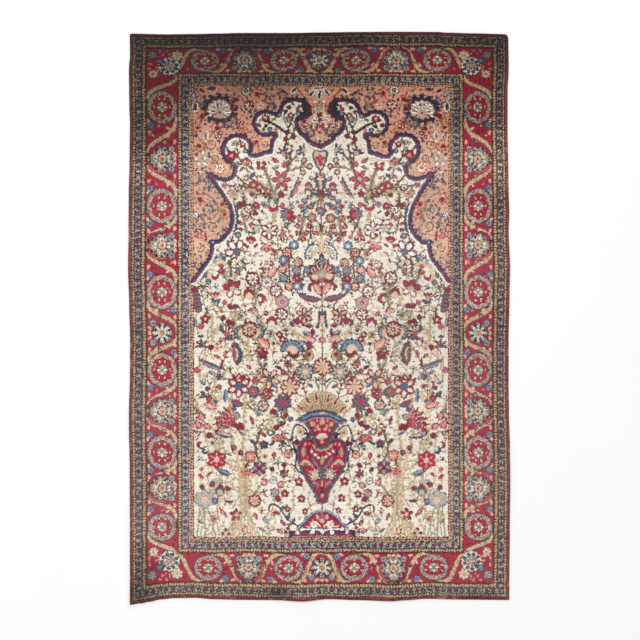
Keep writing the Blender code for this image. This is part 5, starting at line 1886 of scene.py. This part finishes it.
@dataclass(frozen=True)
class KnottedBack:
    """The back of the rug: knots in rows between the wefts, paler than the pile."""

    name: str = "knotted_back"
    cotton: tuple[int, int, int] = (206, 192, 170)
    row: float = 0.0021
    depth: float = 0.0006

    def material(self) -> bpy.types.Material:
        """Build the material."""
        graph = Graph(self.name)
        place = graph.node("SeparateXYZ", None, {0: graph.node("TexCoord").outputs["Object"]})
        waves = [graph.maths("SINE", graph.maths("MULTIPLY", place.outputs[axis], math.tau / self.row))
                 for axis in (0, 1)]
        knots = graph.span(graph.maths("MULTIPLY", waves[0], waves[1]), 0.2, 0.8)
        wefts = graph.maths("MULTIPLY", graph.maths("GREATER_THAN", waves[1], 0.72), 0.55)
        woven = graph.mix(wefts, graph.silks(), dye(self.cotton))
        lit = graph.lit(woven, graph.span(graph.noise(300), 0.85, 1.15))
        return graph.finish(lit, knots, self.depth, {"Roughness": 0.85, "Specular IOR Level": 0.2})


@dataclass(frozen=True)
class Overcasting:
    """Silk wound round an edge: worn red turns, each a little different, with pale web here and there."""

    name: str
    turns: tuple[int, int, int]
    dark: tuple[int, int, int] = (74, 30, 34)
    pale: tuple[int, int, int] = (190, 160, 146)
    worn: float = 0.62
    depth: float = 0.0004

    def material(self) -> bpy.types.Material:
        """Build the material."""
        graph = Graph(self.name)
        own = graph.mix(graph.attribute("turn"), dye(self.dark), dye(self.turns))
        fibres = graph.noise(900, 3)
        rubbed = graph.maths("GREATER_THAN", graph.noise(26, 4), self.worn)
        worn = graph.mix(graph.maths("MULTIPLY", rubbed, 0.5), own, dye(self.pale))
        return graph.finish(graph.lit(worn, graph.span(fibres, 0.75, 1.25)), fibres, self.depth, {
            "Roughness": graph.span(graph.noise(80), 0.6, 0.8), "Sheen Weight": 0.2,
            "Sheen Roughness": 0.5, "Specular IOR Level": 0.25})


@dataclass(frozen=True)
class StudioPaper:
    """The pale floor that the rug lies on."""

    name: str = "studio_paper"
    colour: tuple[int, int, int] = (250, 250, 250)

    def material(self) -> bpy.types.Material:
        """Build the material."""
        graph = Graph(self.name)
        tone = graph.mix(graph.noise(3), dye(self.colour), dye([value - 2 for value in self.colour]))
        return graph.finish(tone, graph.noise(400), 0.00005, {"Roughness": 0.9, "Specular IOR Level": 0.1})


# --- The rug's pieces ---

@dataclass
class Net:
    """A mesh of squares with the column and row of each corner and each face."""

    mesh: bpy.types.Mesh
    column: np.ndarray
    row: np.ndarray

    @classmethod
    def make(cls, name: str, columns: int, rows: int) -> "Net":
        """Make a flat net.

        Args:
            name: the mesh's name.
            columns: squares across.
            rows: squares along.

        Returns:
            The net.
        """
        grid = bmesh.new()
        bmesh.ops.create_grid(grid, x_segments=columns, y_segments=rows, size=1.0)
        mesh = bpy.data.meshes.new(name)
        grid.to_mesh(mesh)
        grid.free()
        places = np.empty(len(mesh.vertices) * 3, np.float32)
        mesh.vertices.foreach_get("co", places)
        share = (places.reshape(-1, 3) + 1) / 2
        return cls(mesh, np.rint(share[:, 0] * columns).astype(int), np.rint(share[:, 1] * rows).astype(int))

    def corners(self) -> np.ndarray:
        """The four corners of every face, as vertex numbers."""
        corners = np.empty(len(self.mesh.loops), np.int32)
        self.mesh.loops.foreach_get("vertex_index", corners)
        return corners.reshape(-1, 4)

    def move(self, points: np.ndarray) -> None:
        """Put each corner at its own point."""
        self.mesh.vertices.foreach_set("co", points.astype(np.float32).ravel())
        self.mesh.update()

    def note(self, name: str, values: np.ndarray) -> None:
        """Keep a number for each face under a name."""
        layer = self.mesh.attributes.new(name, "FLOAT", "FACE")
        layer.data.foreach_set("value", values.astype(np.float32))

    def dress(self, drawing: Drawing, across: np.ndarray,
              along: np.ndarray) -> tuple[np.ndarray, np.ndarray]:
        """Give each face its silk, its painted shade and sheen, and its wear.

        Args:
            drawing: the design.
            across: where each column's line lies across the rug.
            along: where each row's line lies along it.

        Returns:
            The columns and the rows of the faces' corners.
        """
        corners = self.corners()
        columns, rows = self.column[corners], self.row[corners]
        left, low = columns.min(axis=1), rows.min(axis=1)
        middle = (across[left] + across[left + 1]) / 2, (along[low] + along[low + 1]) / 2
        self.note("yarn", Loom().knots(drawing, *middle))
        # shade and deep carry painted shade as well as stains and tone; sheen_haze is painted sheen.
        self.note("shade", PaintedShadeAndWear().shade(*middle))
        self.note("sheen_haze", PaintedShadeAndWear().sheen_haze(*middle))
        self.note("deep", PaintedShadeAndWear().deep(middle[1]))
        return columns, rows

    @staticmethod
    def inset(share: np.ndarray, margin: float = 0.01) -> np.ndarray:
        """Draw a share of the map in from its rim."""
        return margin + (1 - 2 * margin) * share

    def unwrap(self, across: np.ndarray, along: np.ndarray) -> None:
        """Lay each face corner on the map: its place across and along it."""
        layer = self.mesh.uv_layers.new(name="OFBake")
        layer.data.foreach_set("uv", np.stack((across, along), axis=-1).astype(np.float32).ravel())

    def piece(self, name: str, material: bpy.types.Material) -> bpy.types.Object:
        """Turn the net into a shown piece."""
        self.mesh.polygons.foreach_set("use_smooth", np.ones(len(self.mesh.polygons), bool))
        self.mesh.materials.append(material)
        piece = bpy.data.objects.new(name, self.mesh)
        bpy.context.scene.collection.objects.link(piece)
        LOG.info("%s: %d faces", name, len(self.mesh.polygons))
        return piece


@dataclass(frozen=True)
class Pile:
    """The knotted pile: full-length strips of knots side by side, and the back under them."""

    strips: int = 5
    columns: int = 104
    rows: int = 780
    folds: int = 3
    height: float = 0.0059
    rim: tuple[float, float] = (0.0032, 0.0053)
    uneven: float = 0.00014
    knot_share: float = 0.8          # shares of the unevenness in single knots and in whole rows
    row_share: float = 0.5
    back_columns: int = 168
    back_rows: int = 250
    lip: float = 0.0006
    back_rim: float = 0.0030
    seed: int = 7

    def cuts(self) -> tuple[np.ndarray, np.ndarray]:
        """Where the lines between knots lie across and along the rug."""
        side = LIE.width / 2 - LIE.side_cord - LIE.gap
        low = -LIE.length / 2 + LIE.foot_whip + LIE.gap
        high = LIE.length / 2 - LIE.head_whip - LIE.gap
        across = np.linspace(-side, side, self.strips * self.columns + 1)
        return across, np.linspace(low, high, self.rows + 1)

    def heights(self) -> np.ndarray:
        """Height of the pile at each crossing of the cuts, low at the rim."""
        random = np.random.default_rng(self.seed)
        rows, columns = self.rows + 1, self.strips * self.columns + 1
        rough, beat = (np.clip(random.normal(0, 1, shape), -2, 2) for shape in ((rows, columns), (rows, 1)))
        high = self.height + self.uneven * (rough * self.knot_share + beat * self.row_share)
        from_edge = np.minimum.outer(np.minimum(np.arange(rows), np.arange(rows)[::-1]),
                                     np.minimum(np.arange(columns), np.arange(columns)[::-1]))
        for ring, height in enumerate(self.rim):
            high = np.where(from_edge == ring, height, high)
        return high

    def strip(self, index: int, drawing: Drawing, heights: np.ndarray,
              material: bpy.types.Material) -> bpy.types.Object:
        """Knot one strip.

        Args:
            index: its number from the left.
            drawing: the design.
            heights: height at each crossing of the cuts.
            material: the silk.

        Returns:
            The strip.
        """
        across, along = self.cuts()
        name = f"pile_strip_{index + 1}"
        net = Net.make(name, self.columns, self.rows)
        first = index * self.columns
        net.move(LIE.lay(across[first + net.column], along[net.row], heights[net.row, first + net.column]))
        columns, rows = net.dress(drawing, across[first:], along)
        each = self.rows // self.folds
        part = rows.min(axis=1)[:, None] // each
        net.unwrap((net.inset(columns / self.columns) + part) / self.folds,
                   net.inset((rows - each * part) / each))
        return net.piece(name, material)

    def back(self, drawing: Drawing, material: bpy.types.Material) -> bpy.types.Object:
        """Make the back: flat under the pile, its rim turned up to meet it."""
        wide, long = (np.concatenate((
            cuts[:1], np.linspace(cuts[0] + self.lip, cuts[-1] - self.lip, count - 1), cuts[-1:]))
            for cuts, count in zip(self.cuts(), (self.back_columns, self.back_rows)))
        net = Net.make("rug_back", self.back_columns, self.back_rows)
        outermost = (net.column % self.back_columns == 0) | (net.row % self.back_rows == 0)
        net.move(LIE.lay(wide[net.column], long[net.row], np.where(outermost, self.back_rim, 0.0)))
        columns, rows = net.dress(drawing, wide, long)
        net.unwrap(net.inset(columns / self.back_columns), net.inset(rows / self.back_rows))
        net.mesh.flip_normals()
        return net.piece("rug_back", material)


@dataclass(frozen=True)
class Binding:
    """Silk wound round one edge of the rug, turn by turn."""

    name: str
    node: str
    slot: str
    lengthways: bool
    side: int
    width: float
    colour: tuple[int, int, int]
    turn: float = 0.004
    sink: float = 0.10               # how much thinner the rib is between two turns
    uneven: float = 0.05             # how much thinner one turn may be than another
    slip: float = 0.0005             # how far a turn may lie from its place
    # Painted shade in the valleys between two turns.
    dark: float = 0.25               # light lost between two turns
    # The rib under the turns: share of the width from the rug inwards to outwards, share of the height.
    section: Rows = ((0.20, 0.0), (0.80, 0.0), (1.0, 0.28), (0.97, 0.66), (0.74, 0.97), (0.30, 1.0),
                     (0.04, 0.68), (0.0, 0.28))

    def ends(self) -> Point:
        """Where the binding starts and ends along its edge."""
        if self.lengthways:
            return -LIE.length / 2, LIE.length / 2
        reach = LIE.width / 2 - LIE.side_cord - LIE.gap
        return -reach, reach

    def build(self) -> bpy.types.Object:
        """Wind the turns round the rib and close both ends."""
        low, high = self.ends()
        turns = round((high - low) / self.turn)
        around = len(self.section)
        net = Net.make(self.name, around, turns * 2)
        random = np.random.default_rng(len(self.name) * 5 + self.side)
        share, tall = np.array(self.section)[net.column % around].T
        valley = (net.row % 2 == 0).astype(float)
        own = random.uniform(0.0, 1.0, turns + 2)[(net.row + 1) // 2]
        sink = 1 - self.sink * valley - self.uneven * own
        share, tall = 0.5 + (share - 0.5) * sink, 0.5 + (tall - 0.5) * sink
        along = low + (high - low) * net.row / (turns * 2) + self.slip * (own - 0.5) * (1 - valley)
        along = np.clip(along, low, high)
        edge = (LIE.width if self.lengthways else LIE.length) / 2
        across = self.side * (edge - self.width * share)
        height = tall * LIE.edge_height
        net.move(LIE.lay(across, along, height) if self.lengthways else LIE.lay(along, across, height))
        corners = net.corners()
        row = net.row[corners].min(axis=1)
        net.note("turn", random.uniform(0.35, 1.0, turns + 1)[row // 2])
        middle = low + (high - low) * (row + 0.5) / (turns * 2)
        reach = np.full_like(middle, self.side * (edge - self.width / 2))
        places = (reach, middle) if self.lengthways else (middle, reach)
        # Painted shade of the rug, darker still in the valleys between turns.
        net.note("shade", PaintedShadeAndWear().shade(*places) * (1 - self.dark * (row % 2 == 0)))
        self.close(net.mesh)
        piece = net.piece(self.name, Overcasting(self.name + "_silk", self.colour).material())
        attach(piece, "root")
        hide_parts(self.node)
        return piece

    @staticmethod
    def close(mesh: bpy.types.Mesh) -> None:
        """Weld the seam of the tube, close its ends and turn its faces outwards."""
        tube = bmesh.new()
        tube.from_mesh(mesh)
        bmesh.ops.remove_doubles(tube, verts=tube.verts[:], dist=1e-6)
        open_edges = [edge for edge in tube.edges if edge.is_boundary]
        bmesh.ops.holes_fill(tube, edges=open_edges, sides=0)
        bmesh.ops.recalc_face_normals(tube, faces=tube.faces[:])
        tube.to_mesh(mesh)
        tube.free()


@dataclass(frozen=True)
class Studio:
    """Pale floor, soft light and a camera straight above the rug."""

    camera_height: float = 5.334
    aim: Point = (0.00335, -0.0065)
    lens: float = 85.0
    floor: float = 9.0
    floor_height: float = -0.0004
    sky: float = 0.68
    light: float = 215.0
    lamp: tuple[float, float, float] = (-1.2, 1.6, 6.5)
    lamp_size: float = 4.0

    def build(self) -> None:
        """Set up floor, light, world and camera."""
        net = Net.make("floor", 4, 4)
        net.move(np.stack(((net.column / 4 - 0.5) * self.floor, (net.row / 4 - 0.5) * self.floor,
                           np.full(len(net.row), self.floor_height)), axis=-1))
        net.piece("floor", StudioPaper().material())
        scene = bpy.context.scene
        scene.world = bpy.data.worlds.new("studio")
        scene.world.use_nodes = True
        sky = scene.world.node_tree.nodes["Background"]
        sky.inputs["Color"].default_value = (1, 1, 1, 1)
        sky.inputs["Strength"].default_value = self.sky
        lamp = bpy.data.objects.new("softbox", bpy.data.lights.new("softbox", "AREA"))
        lamp.data.shape = "SQUARE"
        lamp.data.size = self.lamp_size
        lamp.data.energy = self.light
        lamp.location = self.lamp
        lamp.rotation_euler = (-Vector(self.lamp)).to_track_quat("-Z", "Y").to_euler()
        camera = bpy.data.objects.new("camera", bpy.data.cameras.new("camera"))
        camera.data.lens = self.lens
        camera.data.sensor_width = 36.0
        camera.location = (*self.aim, self.camera_height)
        for thing in (lamp, camera):
            scene.collection.objects.link(thing)
        scene.camera = camera
        scene.view_settings.view_transform = "Standard"


def main() -> None:
    """Make the rug and its studio."""
    logging.basicConfig(level=logging.INFO, format="%(name)s %(message)s")
    drawing = Drawing()
    Borders().draw(drawing)
    Field().draw(drawing)
    LOG.info("drawing: %d by %d squares", *drawing.yarn.shape)
    bindings = [Binding(*row).build() for row in (
        ("left_overcasting", "side_cord_left", "side_overcast", True, -1, LIE.side_cord, (160, 86, 88)),
        ("right_overcasting", "side_cord_right", "side_overcast", True, 1, LIE.side_cord, (160, 86, 88)),
        ("foot_whipping", "end_whip_foot", "end_whipping", False, -1, LIE.foot_whip, (140, 72, 74)),
        ("head_whipping", "end_whip_head", "end_whipping", False, 1, LIE.head_whip, (120, 58, 60)),
    )]
    pile = Pile()
    silk = SilkPile().material()
    heights = pile.heights()
    strips = [pile.strip(index, drawing, heights, silk) for index in range(pile.strips)]
    back = pile.back(drawing, KnottedBack().material())
    for piece in (*strips, back):
        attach(piece, "root")
        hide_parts("rug_body")
    Studio().build()
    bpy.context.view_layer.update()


if __name__ == "__main__":
    main()
